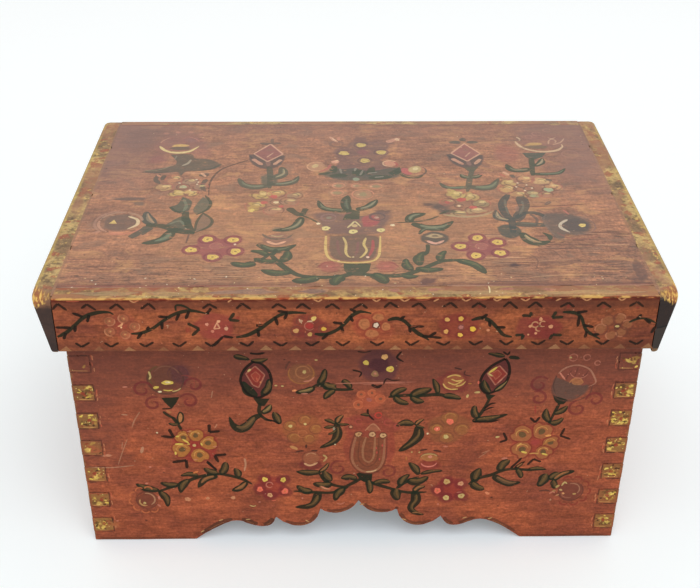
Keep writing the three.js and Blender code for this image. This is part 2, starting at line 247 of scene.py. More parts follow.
# Ground colours (display values)
ORANGE_BROWN = (182, 95, 60)
RED_BROWN = (133, 68, 50)
PLUM_BROWN = (108, 63, 54)
APRON_ORANGE = (184, 101, 60)
APRON_RED = (128, 66, 48)
DARK_BAND = (100, 54, 40)
ROSE_BROWN = (142, 96, 72)
LID_ORANGE = (190, 128, 90)
LID_PLUM = (136, 98, 86)
LID_GOLD = (206, 150, 98)
LID_GREY = (136, 104, 82)
GRAIN_DARK = (66, 40, 32)
BARE_WOOD = (186, 140, 88)
BARE_PALE = (214, 176, 122)
BARE_DARK = (120, 84, 54)
OLIVE_YELLOW = (200, 168, 108)
DULL_OLIVE = (136, 108, 76)
CLEAT_DARK = (46, 31, 27)
CLEAT_BROWN = (76, 52, 42)
PALE_CHIP = (206, 160, 124)
RUST = (92, 52, 34)
BORDER_RED = (158, 82, 60)
BORDER_DARK = (92, 72, 52)
BORDER_GOLD = (226, 186, 106)
BORDER_RUBBED = (166, 116, 84)
BORDER_TEETH = (156, 80, 64)
BORDER_REAR = (156, 112, 86)
CLEAT_PINK = (166, 118, 88)
CLEAT_GILT = (208, 182, 96)
CLEAT_RUBBED = (134, 92, 66)
SPLIT_PALE = (104, 96, 84)
SPLIT_DARK = (16, 12, 10)
TORN_PALE = (236, 190, 100)
TORN_DARK = (156, 92, 52)
ARRIS_ORANGE = (176, 100, 56)
ARRIS_GLINT = (238, 188, 106)
LIP_RED = (184, 72, 40)
LIP_WORN_AND_SHADED = (52, 26, 20)
LIP_PALE = (226, 178, 100)
GROOVE_DARK = (84, 30, 20)
IRON_DARK = (48, 42, 40)
PAINT_GLOSS = 0.14
CLEAT_GLOSS = 0.3
LID_GLOSS = 0.5

# Where the ground paint changes (mm): nothing of it shows at the first number, all of it at the second
BODY_DARK_Z = (84, 132)
BODY_FOOT_Z = (26, 4)
APRON_UPPER_BAND = (171.5, 175.5)
APRON_LOWER_BAND = (154, 150)
LID_BACK_STRIP = (225.6, 227.2)

# Height of the split in the right cleat (mm)
SPLIT_Z = 120.75


def along(axis, long, thin):
    """Sizes of a streak that runs along X or Y."""
    return (long, thin, thin) if axis == "x" else (thin, long, thin)


def bare_wood(look, axis):
    """Old unpainted pine: colour and height."""
    rings = look.noise(along(axis, 90, 3.2), 4, 0.6, 3, 0.6)
    fine = look.noise(along(axis, 30, 0.55), 3, 0.6, 8)
    stain = look.noise((38, 38, 38), 3, 0.5, 5)
    colour = look.mix(look.level(rings, 0, 1), BARE_DARK, BARE_WOOD)
    colour = look.mix(look.step(fine, 0.5, 0.75), colour, BARE_PALE)
    colour = look.light(colour, look.level(stain, 0.72, 1.04))
    return colour, rings + fine


def worn_paint(look, axis, light, dark):
    """Ground paint brushed along the grain: colour, height and its large patches."""
    streak = look.noise(along(axis, 46, 1.9), 5, 0.6, 1, 0.3)
    fine = look.noise(along(axis, 5, 0.7), 3, 0.65, 2)
    cloud = look.noise((30, 30, 22), 4, 0.6, 6)
    mottle = look.noise(along(axis, 5, 3.4), 4, 0.7, 11, 0.5)
    speck = look.noise((1.6, 2.6, 1.6), 2, 0.65, 9)
    tone = streak * 0.3 + cloud * 0.7
    colour = look.mix(look.level(tone, 0, 1, 0.5, 0.16), dark, light)
    colour = look.light(colour, look.level(mottle, 0.83, 1.17))
    dab = look.noise(along(axis, 12, 4.6), 4, 0.7, 83, 0.4)
    colour = look.light(colour, look.level(dab, 0.8, 1.2, 0.5, 0.14))
    colour = look.light(colour, look.level(fine, 0.78, 1.18))
    colour = look.light(colour, look.level(speck, 0.72, 1.22))
    height = streak * 0.7 + fine * 0.5
    return colour, height, cloud


def chips(look, colour, amount=0):
    """Small pale chips and dark specks in the paint."""
    chip = look.step(look.noise((3.4, 3.4, 2.6), 2, 0.6, 13), 0.735 - amount, 0.765 - amount)
    dark = look.step(look.noise((2.6, 2.6, 2.2), 2, 0.6, 17), 0.735, 0.77)
    colour = look.mix(chip * 0.55, colour, PALE_CHIP)
    return look.mix(dark * 0.6, colour, GRAIN_DARK)


def body_ground(look, axis="x"):
    """Paint of the boards of the body, darker and redder towards the top."""
    colour, height, cloud = worn_paint(look, axis, ORANGE_BROWN, RED_BROWN)
    wander = (cloud - 0.5) * 60
    top = look.step(look.z + wander, *BODY_DARK_Z)
    colour = look.mix(top * 0.62, colour, PLUM_BROWN)
    left = look.both(look.step(look.x + wander, -118, -150), look.between(look.z, 58, 112, 10))
    colour = look.mix(left * 0.45, colour, PLUM_BROWN)
    low = look.step(look.z, *BODY_FOOT_Z)
    colour = look.light(colour, 1 - low * 0.08)
    return chips(look, colour), height


def apron_ground(look):
    """Paint of the lid's apron: a middle field between two darker bands."""
    colour, height, cloud = worn_paint(look, "x", APRON_ORANGE, APRON_RED)
    wander = (cloud - 0.5) * 4
    z = look.z + wander
    bands = look.either(look.step(z, *APRON_UPPER_BAND), look.step(z, *APRON_LOWER_BAND) * 0.8)
    colour = look.mix(bands * 0.68, colour, DARK_BAND)
    shade = 1 - look.step(look.x, -10, 110) * 0.22
    return chips(look, look.light(colour, shade)), height


def border_paint(look, seed=21):
    """Olive-yellow border with soft red, yellow and dark dabs."""
    patch = look.noise((15, 15, 12), 4, 0.6, seed)
    dab = look.noise((7, 6, 7), 3, 0.6, seed + 4)
    glint = look.noise((4, 4, 4), 3, 0.6, seed + 9)
    fine = look.noise((1.4, 2, 1.4), 2, 0.6, seed + 7)
    colour = look.mix(look.step(patch, 0.4, 0.6), DULL_OLIVE, OLIVE_YELLOW)
    colour = look.mix(look.step(dab, 0.52, 0.62) * 0.8, colour, BORDER_RED)
    colour = look.mix(look.step(dab, 0.45, 0.34) * 0.7, colour, BORDER_DARK)
    colour = look.mix(look.step(glint, 0.57, 0.66) * 0.7, colour, BORDER_GOLD)
    return look.light(colour, look.level(fine, 0.76, 1.18))


def cleat_border(look):
    """The border on the cleats' tops: rubbed pink-brown, with the olive paint left in places."""
    rub = look.noise((12, 34, 12), 4, 0.6, 71, 0.3)
    left = look.step(rub, 0.44, 0.6) * 0.75
    colour = look.mix(left, border_paint(look), CLEAT_PINK)
    outer = CLEAT_X - abs(look.x)
    gilt = look.both(look.step(outer, 3, 1.4), look.step(rub, 0.64, 0.5), 0.6)
    return look.mix(gilt, colour, CLEAT_GILT)


def faded_border(look, seed=21):
    """The border where it is rubbed down to the brown."""
    rub = look.noise((30, 8, 24), 4, 0.6, seed + 11)
    rubbed = look.mix(look.step(rub, 0.4, 0.62), BORDER_RUBBED, border_paint(look, seed))
    points = abs(look.maths("FRACT", look.x * 0.085) - 0.5)
    reach = look.y - LID_FRONT + points * 9
    teeth = look.both(look.step(reach, 11.6, 12.8), look.step(reach, 17, 16), look.step(rub, 0.62, 0.46), 0.7)
    rubbed = look.mix(teeth, rubbed, BORDER_TEETH)
    depth = look.y - LID_FRONT
    wander = (rub - 0.5) * 9
    rear = look.both(look.step(depth + wander, 4.5, 8.5), look.step(depth, 17, 16))
    rear = look.both(rear, 0.2 + look.step(look.x, -110, -20) * 0.4)
    return look.mix(rear, rubbed, BORDER_REAR)


def lid_ground(look):
    """Paint of the lid's panel, polished and dark in the grain near its front and right."""
    colour, height, cloud = worn_paint(look, "x", LID_ORANGE, ROSE_BROWN)
    depth = look.y - LID_FRONT
    worn = look.noise((26, 17, 10), 5, 0.65, 43, 0.6)
    colour = look.mix(look.step(worn, 0.52, 0.64) * 0.6, colour, LID_GOLD)
    colour = look.mix(look.step(worn, 0.47, 0.36) * 0.55, colour, LID_GREY)
    smear = look.noise((11, 4.2, 6), 4, 0.65, 47, 0.4)
    colour = look.light(colour, look.level(smear, 0.76, 1.2))
    stroke = look.noise((2.4, 20, 2), 3, 0.6, 49, 0.3)
    colour = look.light(colour, look.level(stroke, 0.92, 1.08))
    gold = look.both(look.step(abs(look.x + 14), 128, 60), look.step(depth, 150, 90), 0.24)
    colour = look.mix(gold, colour, LID_GOLD)
    wander = (cloud - 0.5) * 70
    across = abs(look.x)
    plum = look.both(look.step(across + wander, 96, 152), look.step(depth, 88, 180))
    colour = look.mix(plum * 0.7, colour, LID_PLUM)
    back = look.step(depth + wander, 170, 232)
    colour = look.mix(back * 0.4, colour, LID_PLUM)
    grain = look.noise((17, 0.75, 2), 3, 0.65, 31, 0.2)
    spots = look.noise((3.2, 0.9, 2), 2, 0.6, 37)
    rubbed = look.either(
        look.step(depth, 62, 24) * 0.9, look.both(look.step(look.x, 84, 120), look.step(depth, 118, 60)), 0.28
    )
    marks = look.both(look.step(grain, 0.54, 0.66), rubbed)
    colour = look.mix(marks * 0.85, colour, GRAIN_DARK)
    colour = look.mix(look.both(look.step(spots, 0.57, 0.68), rubbed, 0.7), colour, GRAIN_DARK)
    edge = look.both(look.step(depth, 17.5, 14), look.step(depth, 10.8, 12.4))
    colour = look.mix(edge * 0.5, colour, DARK_BAND)
    return chips(look, colour, 0.01), height


def lid_face(look):
    """The panel's paint with the border strip along the back."""
    colour, height = lid_ground(look)
    depth = look.y - LID_FRONT
    wobble = look.level(look.noise((13, 13, 13), 2, 0.5, 41), -1.6, 1.6)
    strip = look.step(depth + wobble, *LID_BACK_STRIP)
    colour = look.mix(strip * 0.9, colour, faded_border(look, 27))
    return colour, height


def edge_wear(look, distance, reach, seed=51):
    """1 at an edge, broken up by noise, 0 from reach mm on."""
    broken = look.level(look.noise((7, 7, 4), 3, 0.65, seed), 0.1, 1.5, 0.5, 0.2)
    return look.step(distance, broken * reach, 0)


def inside_mask(look):
    """1 on the faces that look into the box."""
    across = abs(look.x)
    return look.both(
        look.step(across, INSIDE_X + 0.12, INSIDE_X + 0.06),
        look.step(look.y, INSIDE_FRONT - 0.12, INSIDE_FRONT - 0.06),
        look.step(look.y, INSIDE_BACK + 0.12, INSIDE_BACK + 0.06)
    )


def board_look(name, axis):
    look = Look(name)
    paint, height = body_ground(look, axis)
    wood = bare_wood(look, axis)[0]
    top = look.step(look.z, front_high.z - 0.5, front_high.z - 0.2)
    foot = look.step(look.z, 0.5, 0.2)
    bare = look.either(inside_mask(look), top * 0.75, foot)
    corner = abs(abs(look.x) - OUTSIDE_X) + (look.y - FRONT_FACE)
    bare = look.either(bare, edge_wear(look, corner, 1.6) * 0.8)
    colour = look.mix(bare, paint, wood)
    rough = look.level(height, 0.52, 0.66)
    return look.finish(colour, rough, height, 0.16, PAINT_GLOSS)


def apron_look(name):
    look = Look(name)
    paint, height = apron_ground(look)
    wood = bare_wood(look, "x")[0]
    on_top = look.step(look.z, LID_TOP - 0.5, LID_TOP - 0.15)
    colour = look.mix(on_top, paint, faded_border(look))
    ridge = look.y - LID_FRONT + (LID_TOP - look.z)
    colour = look.mix(edge_wear(look, ridge, 1.3) * 0.8, colour, ARRIS_ORANGE)
    drop = LID_TOP - look.z
    chip = look.noise((6, 4, 2), 3, 0.65, 59)
    on_front = look.step(look.y, LID_FRONT + 0.9, LID_FRONT + 0.3)
    gap = look.step(look.x + chip * 60, 60, 150)
    red = look.both(look.step(drop, look.level(chip, 0.4, 3.4), 0.2), on_front, 0.75)
    colour = look.mix(red, colour, LIP_RED)
    # A dark jagged band just under the top arris on the front: worn dark paint and painted shade under the
    # worn lip
    jag = look.both(
        look.step(drop, look.either(look.level(chip, -1.6, 4.6), 0.35), 0.3), on_front, 0.35 + gap * 0.5
    )
    colour = look.mix(jag, colour, LIP_WORN_AND_SHADED)
    groove = look.both(
        look.step(drop, 0.4, 0.8), look.step(drop, 2.8, 1.6), on_front, look.step(chip, 0.38, 0.52), 0.75
    )
    colour = look.mix(groove, colour, GROOVE_DARK)
    bright = look.step(look.noise((11, 5, 5), 3, 0.6, 57), 0.5, 0.62)
    colour = look.mix(look.both(edge_wear(look, ridge, 1.2, 54), bright), colour, ARRIS_GLINT)
    lip = look.both(look.step(look.y - LID_FRONT, look.level(chip, 0.9, 3.4), 0.4), look.step(drop, 1, 0.5))
    broken = look.step(look.noise((9, 4, 4), 3, 0.6, 62), 0.44, 0.58)
    colour = look.mix(look.both(lip, broken, 0.75), colour, LIP_PALE)
    bare = look.either(
        look.step(look.y, APRON_REAR - 0.6, APRON_REAR - 0.2),
        look.step(look.z, apron_low.z + 0.5, apron_low.z + 0.1)
    )
    colour = look.mix(bare, colour, wood)
    return look.finish(colour, look.level(height, 0.5, 0.62), height, 0.14, PAINT_GLOSS)


def panel_look(name):
    look = Look(name)
    paint, height = lid_face(look)
    wood = bare_wood(look, "x")[0]
    bare = look.step(look.z, PANEL_UNDER + 0.9, PANEL_UNDER + 0.4)
    colour = look.mix(bare, paint, wood)
    ridge = LID_BACK - look.y + (LID_TOP - look.z)
    colour = look.mix(edge_wear(look, ridge, 3) * 0.7, colour, BARE_WOOD)
    return look.finish(colour, look.level(height, 0.38, 0.5), height, 0.12, LID_GLOSS)


def cleat_look(name):
    look = Look(name)
    cloud = look.noise((22, 30, 16), 4, 0.6, 61)
    streak = look.noise((1.6, 26, 1.2), 4, 0.6, 64)
    colour = look.mix(look.level(cloud, 0, 0.8), CLEAT_DARK, CLEAT_BROWN)
    colour = look.light(colour, look.level(streak, 0.8, 1.18))
    colour = look.light(colour, 1 - look.step(look.x, -1, 1) * 0.5)
    on_top = look.step(look.z, LID_TOP - 1.6, LID_TOP - 0.5)
    colour = look.mix(on_top, colour, cleat_border(look))
    wood = bare_wood(look, "y")[0]
    front = look.y - LID_FRONT
    drop = LID_TOP - look.z
    outer = CLEAT_X - abs(look.x)
    wander = (look.noise((6, 6, 4), 3, 0.6, 68) - 0.5) * 5
    uneven = drop + wander
    near = look.step(front, 9, 4)
    rubbed = look.both(look.both(look.step(uneven, 6, 3.6), near), look.step(look.x, 1, -1))
    colour = look.mix(rubbed * 0.7, colour, CLEAT_RUBBED)
    rim = look.step(uneven, 2.4, 1)
    corner = outer * 1.6 + drop * 0.35
    bare = look.both(look.either(rim, look.step(corner, 3.4, 2)), near)
    line = look.z - (SPLIT_Z + look.x * 0.25)
    line = line + wander * 0.12
    right_front = look.both(look.step(look.x, -1, 1), look.step(front, 22, 10))
    below = look.both(look.step(line, 0.3, -0.6), right_front) * 0.14
    colour = look.mix(below, colour, SPLIT_PALE)
    split = look.both(look.step(abs(line), 0.6, 0.3), right_front)
    colour = look.mix(split, colour, SPLIT_DARK)
    arris = outer * 1.2 + drop
    bare = look.either(bare, edge_wear(look, arris, 4.5) * 0.75)
    under = look.step(look.z, cleat_low.z + 0.6, cleat_low.z + 0.1)
    bare = look.either(bare, under * 0.6)
    colour = look.mix(bare, colour, wood)
    fibre = look.noise((1.3, 7, 2.4), 4, 0.6, 91)
    depth = look.either(front, 0) * 0.34
    reach = depth + look.either(outer, 0) * 0.42
    reach = reach + look.either(drop, 0) * 0.8
    reach = reach + (fibre - 0.5) * 6
    torn = look.step(reach, 6, 4.2)
    fresh = look.mix(look.step(fibre, 0.38, 0.56), TORN_PALE, TORN_DARK)
    colour = look.mix(torn * 0.9, colour, fresh)
    back = look.both(look.step(look.y, LID_BACK - 2, LID_BACK - 0.6), 0.5)
    colour = look.mix(back, colour, BARE_DARK)
    height = streak + cloud * 0.5
    return look.finish(colour, look.level(height, 0.46, 0.6, 0.75), height, 0.16, CLEAT_GLOSS)


def wood_look(name, axis):
    look = Look(name)
    wood, grain = bare_wood(look, axis)
    return look.finish(wood, look.level(grain, 0.62, 0.78, 1), grain, 0.12)


def iron_look(name):
    look = Look(name)
    rust = look.noise((1.6, 1.6, 1.6), 4, 0.6, 71)
    colour = look.mix(look.step(rust, 0.42, 0.6), IRON_DARK, RUST)
    look.shader.inputs["Metallic"].default_value = 0.35
    return look.finish(colour, look.level(rust, 0.5, 0.8), rust, 0.15)


# Brush colours (display values)
INK = (21, 17, 8)
GREEN = (28, 36, 20)
OLIVE = (98, 76, 46)
LEAF_PALE = (128, 108, 70)
TAN = (186, 122, 74)
LEAF_TAN = (140, 96, 60)
YELLOW = (222, 190, 88)
STRAW = (206, 178, 112)
CREAM = (236, 214, 168)
OCHRE = (178, 116, 56)
ORANGE = (214, 122, 66)
CORAL = (232, 112, 86)
PINK = (206, 128, 104)
RED = (150, 48, 44)
ROSE = (164, 66, 58)
WINE = (108, 36, 40)
PLUM = (92, 52, 54)
BROWN = (84, 52, 42)
DARK = (58, 36, 30)

# Layers from the lowest, the height of the lowest mark over the board and the step to a mark over it (mm)
LAYERS = ("wash", "body", "line", "touch")
PAINT_LIFT = 0.02
PAINT_STEP = 0.0012
FEATHER = 0.26
SAMPLE_STEP = 1.1
RIM_COUNT = 26
ATLAS_GAP = 0.5

# A whole turn (rad), how much single marks differ in shade, and the way down to the marks below
TURN = 6.28
SHADES = (0.93, 1.07)
DOWN = Vector((0, 0, -1))


def along_curve(t, p, q, r, s):
    """Place at share t of the way from q to r on a smooth line through p, q, r and s."""
    return 0.5 * (2 * q + (r - p) * t + (2 * p - 5 * q + 4 * r - s) * t * t + (3 * q - p - 3 * r + s) * t**3)


def spline(points, step=SAMPLE_STEP):
    """Smooth line through the points."""
    padded = [points[0], *points, points[-1]]
    line = []
    for a, b, c, d in zip(padded, padded[1:], padded[2:], padded[3:]):
        count = max(2, math.ceil(math.dist(b, c) / step))
        for index in range(count):
            t = index / count
            line.append(tuple(along_curve(t, *corners) for corners in zip(a, b, c, d)))
    line.append(points[-1])
    return line


def under(crossed, spot):
    """Colour and cover of the topmost mark at a spot, or nothing."""
    for left, low, right, high, _, tree, points, faces, paints in crossed:
        if left < spot.x < right and low < spot.y < high:
            hit, _, index, _ = tree.ray_cast(spot - DOWN, DOWN)
            if index is not None:
                corners = faces[index]
                shares = poly_3d_calc([points[corner] for corner in corners], hit)
                shares = [max(0, share) for share in shares]
                whole = sum(shares) or 1
                mixed = [(share / whole, paints[corner]) for share, corner in zip(shares, corners)]
                return [sum(share * paint[part] for share, paint in mixed) for part in range(4)]
    return None


def blend(paint, cover, lower):
    """Colour and cover of a mark over what lies under it."""
    if lower is None:
        return (*paint, cover)
    rest = (1 - cover) * lower[3]
    whole = cover + rest
    if whole < 0.001:
        return (*paint, 0)
    return (*((cover * top + rest * deep) / whole for top, deep in zip(paint, lower)), whole)


class Painting:
    """Brush marks on one flat face of the box, as one thin mesh with a colour and a cover for each point."""

    def __init__(self, name, place):
        self.name = name
        self.place = place
        self.strokes = []
        self.chance = random.Random(name)

    def add(self, points, covers, faces, colour, layer):
        """One mark: points on the face (mm), how solid each is, and its faces."""
        shade = self.chance.uniform(*SHADES)
        paint = [channel * shade for channel in srgb(colour)]
        self.strokes.append((LAYERS.index(layer), points, covers, faces, paint))

    def stack(self):
        """The marks in the order of their layers, each lifted over all the marks that it crosses."""
        self.points, self.paints, self.faces, self.atlas, self.marks = [], [], [], [], []
        below = []
        for level, points, covers, faces, paint in sorted(self.strokes, key=lambda stroke: stroke[0]):
            left, low = min(x for x, y in points), min(y for x, y in points)
            right, high = max(x for x, y in points), max(y for x, y in points)
            crossed = [
                mark for mark in below
                if mark[0] < right and left < mark[2] and mark[1] < high and low < mark[3]
            ]
            crossed.sort(key=lambda mark: -mark[4])
            step = crossed[0][4] + 1 if crossed else 0
            base = len(self.points)
            self.marks.append((right - left, high - low, base, len(points)))
            flat = [Vector((x, y, 0)) for x, y in points]
            paints = [blend(paint, cover, under(crossed, spot)) for spot, cover in zip(flat, covers)]
            tree = BVHTree.FromPolygons(flat, faces)
            below.append((left, low, right, high, step, tree, flat, faces, paints))
            for (x, y), shade in zip(points, paints):
                self.points.append(self.place(x, y, PAINT_LIFT + step * PAINT_STEP))
                self.paints.append(shade)
                self.atlas.append((x - left, y - low))
            self.faces += [tuple(base + index for index in face) for face in faces]

    def brush(
        self, points, width, colour=INK, solid=0.92, ends=(0.35, 0.2), belly=0, layer="line", feather=FEATHER
    ):
        """A stroke along the points. ends are its width shares at both ends, and belly swells its middle."""
        line = spline(points)
        last = len(line) - 1
        marks, covers, faces = [], [], []
        wave = self.chance.uniform(0, TURN)
        for index, (x, y) in enumerate(line):
            t = index / last
            ax, ay = line[max(0, index - 1)]
            bx, by = line[min(last, index + 1)]
            length = math.hypot(bx - ax, by - ay) or 1
            nx, ny = -(by - ay) / length, (bx - ax) / length
            if belly:
                share = ends[0] * (1 - t) + ends[1] * t
                share += (1 - share) * math.sin(math.pi * t**belly) ** 0.75
            else:
                share = min(1, ends[0] + (1 - ends[0]) * t / 0.12, ends[1] + (1 - ends[1]) * (1 - t) / 0.22)
            half = width / 2 * share * (1 + 0.09 * math.sin(wave + t * 9))
            soft = min(feather, half * 0.9)
            edges = (-half - soft / 2, -half + soft / 2, half - soft / 2, half + soft / 2)
            for offset, cover in zip(edges, (0, 1, 1, 0)):
                marks.append((x + nx * offset, y + ny * offset))
                covers.append(cover * solid)
            if index:
                a, b = 4 * (index - 1), 4 * index
                faces += [(a + k, b + k, b + k + 1, a + k + 1) for k in range(3)]
        self.add(marks, covers, faces, colour, layer)

    def shape(self, outline, colour, solid=0.92, feather=FEATHER, layer="body", rim=1):
        """A filled shape, its outline wound either way. rim is how solid its edge is beside its middle."""
        area = sum(a[0] * b[1] - b[0] * a[1] for a, b in zip(outline, outline[1:] + outline[:1]))
        if area < 0:
            outline = outline[::-1]
        count = len(outline)
        cx = sum(x for x, y in outline) / count
        cy = sum(y for x, y in outline) / count
        reach = sum(math.hypot(x - cx, y - cy) for x, y in outline) / count
        inner = max(0.05, 1 - feather / reach)
        points, covers, faces = [(cx, cy)], [solid], []
        for share, cover in ((inner * 0.6, solid), (inner, solid * rim), (1, 0)):
            points += [(cx + (x - cx) * share, cy + (y - cy) * share) for x, y in outline]
            covers += [cover] * count
        for index in range(count):
            after = (index + 1) % count
            faces.append((0, 1 + index, 1 + after))
            for ring in (0, 1):
                a, b = 1 + ring * count, 1 + (ring + 1) * count
                faces.append((a + index, b + index, b + after, a + after))
        self.add(points, covers, faces, colour, layer)

    def patch(self, corners, colour, solid=0.92, layer="body", feather=FEATHER):
        """A filled shape with straight sides."""
        outline = []
        for (ax, ay), (bx, by) in zip(corners, corners[1:] + corners[:1]):
            count = max(2, int(math.dist((ax, ay), (bx, by)) / 1.2))
            outline += [(ax + (bx - ax) * k / count, ay + (by - ay) * k / count) for k in range(count)]
        self.shape(outline, colour, solid, feather, layer)

    def blob(
        self, x, y, rx, ry, colour, solid=0.92, turn=0, feather=FEATHER, layer="body", rim=1, rough=0.05
    ):
        """A round dab, slightly uneven."""
        waves = [(k, self.chance.uniform(0, TURN), self.chance.uniform(0.3, 1)) for k in (2, 3, 5)]
        c, s = math.cos(math.radians(turn)), math.sin(math.radians(turn))
        outline = []
        for index in range(RIM_COUNT):
            angle = 2 * math.pi * index / RIM_COUNT
            share = 1 + rough * sum(size * math.sin(k * angle + wave) for k, wave, size in waves)
            px, py = rx * share * math.cos(angle), ry * share * math.sin(angle)
            outline.append((x + px * c - py * s, y + px * s + py * c))
        self.shape(outline, colour, solid, feather, layer, rim)

    def wash(self, x, y, rx, ry, colour, solid=0.5, turn=0, soft=2.2):
        """A thin, soft-edged patch of colour."""
        self.blob(x, y, rx + soft / 2, ry + soft / 2, colour, solid, turn, soft, "wash", 1, 0.08)

    def cloud(self, corners, colour, solid=0.5, soft=5):
        """A thin patch of colour with a soft edge, inside a smooth line through the corners."""
        self.shape(spline([*corners, corners[0]], 2)[:-1], colour, solid, soft, "wash")

    def dot(self, x, y, r, colour, solid=0.92, layer="touch"):
        turn = self.chance.uniform(0, 180)
        self.blob(x, y, r, r * 0.92, colour, solid, turn, min(FEATHER, r * 0.5), layer, 1, 0.09)

    def arc(self, x, y, r, start, end, width, colour, solid=0.85, layer="line", squeeze=1, turn=0):
        """Part of a ring, from start to end degrees."""
        count = max(4, int(abs(end - start) / 24))
        c, s = math.cos(math.radians(turn)), math.sin(math.radians(turn))
        points = []
        for index in range(count + 1):
            angle = math.radians(start + (end - start) * index / count)
            px, py = r * math.cos(angle), r * squeeze * math.sin(angle)
            points.append((x + px * c - py * s, y + px * s + py * c))
        self.brush(points, width, colour, solid, (0.55, 0.45), 0, layer)

    def leaf(self, base, tip, width, bend=0, outer=GREEN, inner=OLIVE, glow=0.5, belly=0.85):
        """A leaf from base to tip: a dark blade with a lighter middle. bend pushes its middle to the left."""
        dx, dy = tip[0] - base[0], tip[1] - base[1]
        middle = ((base[0] + tip[0]) / 2 - dy * bend, (base[1] + tip[1]) / 2 + dx * bend)
        self.blade([base, middle, tip], width, outer, inner, glow, belly)

    def blade(self, points, width, outer=GREEN, inner=OLIVE, glow=0.5, belly=0.85):
        """A long leaf along the points: a dark blade, a lighter half and a thin pale streak."""
        self.brush(points, width, outer, 0.94, (0.25, 0.08), belly, "body")
        if inner and glow:
            line = spline(points)
            first, last = int(len(line) * 0.18), max(int(len(line) * 0.84), int(len(line) * 0.18) + 2)
            core = line[first : last + 1]
            pale = tuple(min(255, round(part * gain)) for part, gain in zip(inner, (1.35, 1.22, 1.1)))
            for share, colour, solid, side in ((glow, inner, 0.7, 0.10), (glow * 0.4, pale, 0.5, 0.17)):
                shift = width * side
                pick = [(x + shift * 0.5, y + shift) for x, y in core][:: max(1, len(core) // 4)]
                self.brush(pick, width * share, colour, solid, (0.3, 0.15), belly, "line")

    def chevron(self, start, corner, end, width=1.5, colour=INK, solid=0.9):
        self.brush([start, corner], width, colour, solid, (0.4, 0.9))
        self.brush([corner, end], width, colour, solid, (0.9, 0.35))

    def petal(self, x, y, r, colour, heart=None, edge=None, solid=0.9):
        """A round petal with an edge line and a dark heart."""
        self.blob(x, y, r, r * 0.94, colour, solid, self.chance.uniform(0, 180), FEATHER, "body")
        if edge:
            self.arc(x, y, r, 20, 350, 0.7, edge, 0.7)
        if heart:
            self.dot(x, y, r * 0.42, heart, 0.85)

    def specks(self, count, box, size, colours, solid=0.7):
        """Scattered small dabs inside box (left, low, right, high)."""
        for _ in range(count):
            x, y = self.chance.uniform(box[0], box[2]), self.chance.uniform(box[1], box[3])
            r = size * self.chance.uniform(0.6, 1.4)
            colour = colours[self.chance.randrange(len(colours))]
            turn = self.chance.uniform(0, 180)
            self.blob(x, y, r * 1.5, r * 0.8, colour, solid, turn, FEATHER, "touch", 1, 0.12)

    def build(self, look, body, slot):
        """The marks as one object that rides on a body, with its own map for baking."""
        self.stack()
        mesh = bpy.data.meshes.new(self.name)
        mesh.from_pydata(self.points, [], self.faces)
        paint = mesh.attributes.new("paint", "FLOAT_COLOR", "POINT")
        paint.data.foreach_set("color", [share for colour in self.paints for share in colour])
        spots, side = self.packed()
        layer = mesh.uv_layers.new(name="OFBake")
        corners = [0] * len(mesh.loops)
        mesh.loops.foreach_get("vertex_index", corners)
        flat = []
        for corner in corners:
            x, y = spots[corner]
            flat += [x / side, y / side]
        layer.data.foreach_set("uv", flat)
        mesh.materials.append(look)
        piece = bpy.data.objects.new(self.name, mesh)
        bpy.context.scene.collection.objects.link(piece)
        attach(piece, body)
        return piece

    def packed(self):
        """Places of all marks side by side in a square, in rows by height."""
        area = sum((w + ATLAS_GAP) * (h + ATLAS_GAP) for w, h, *_ in self.marks)
        side = max(math.sqrt(area), max(max(w, h) + 2 * ATLAS_GAP for w, h, *_ in self.marks))
        order = sorted(self.marks, key=lambda mark: -mark[1])
        while True:
            x = y = ATLAS_GAP
            row = 0
            spots = [None] * len(self.points)
            for w, h, base, count in order:
                if x + w + ATLAS_GAP > side:
                    x, y, row = ATLAS_GAP, y + row + ATLAS_GAP, 0
                for index in range(base, base + count):
                    spots[index] = (x + self.atlas[index][0], y + self.atlas[index][1])
                x += w + ATLAS_GAP
                row = max(row, h)
            if y + row + ATLAS_GAP <= side:
                return spots, side
            side *= 1.03


def front_place(x, z, lift):
    return (x * MM, (FRONT_FACE - lift) * MM, z * MM)


def apron_place(x, z, lift):
    return (x * MM, (LID_FRONT - lift) * MM, z * MM)


def lid_place(x, depth, lift):
    return (x * MM, (LID_FRONT + depth) * MM, (LID_TOP + lift) * MM)


def brushed_look(name, ground, rough_low, rough_high, worn, gloss):
    """Brush marks over the ground paint, which shows where they are thin or worn."""
    look = Look(name)
    base, height = ground(look)
    attribute = look.tree.nodes.new("ShaderNodeAttribute")
    attribute.attribute_name = "paint"
    cover = attribute.outputs["Alpha"]
    rub = look.noise((6, 2.2, 2.2), 4, 0.65, 81)
    fine = look.noise((1.2, 0.8, 0.8), 2, 0.6, 84)
    kept = look.step(rub + fine * 0.35, worn - 0.07, worn + 0.05)
    kept = kept * 0.72 + 0.28
    tone = look.level(fine, 0.82, 1.16)
    paint = look.light(attribute.outputs["Color"], tone)
    colour = look.mix(look.both(cover, kept), base, paint)
    rough = look.level(height, rough_low, rough_high)
    return look.finish(colour, rough, height, 0.14, gloss)


def each(mark, rows, **extra):
    """Makes one mark for each row of its arguments."""
    for row in rows:
        mark(*row, **extra)


def leaves(art, rows, **extra):
    """Rows of base x, base y, tip x, tip y, width and bend."""
    for bx, by, tx, ty, width, bend in rows:
        art.leaf((bx, by), (tx, ty), width, bend, **extra)


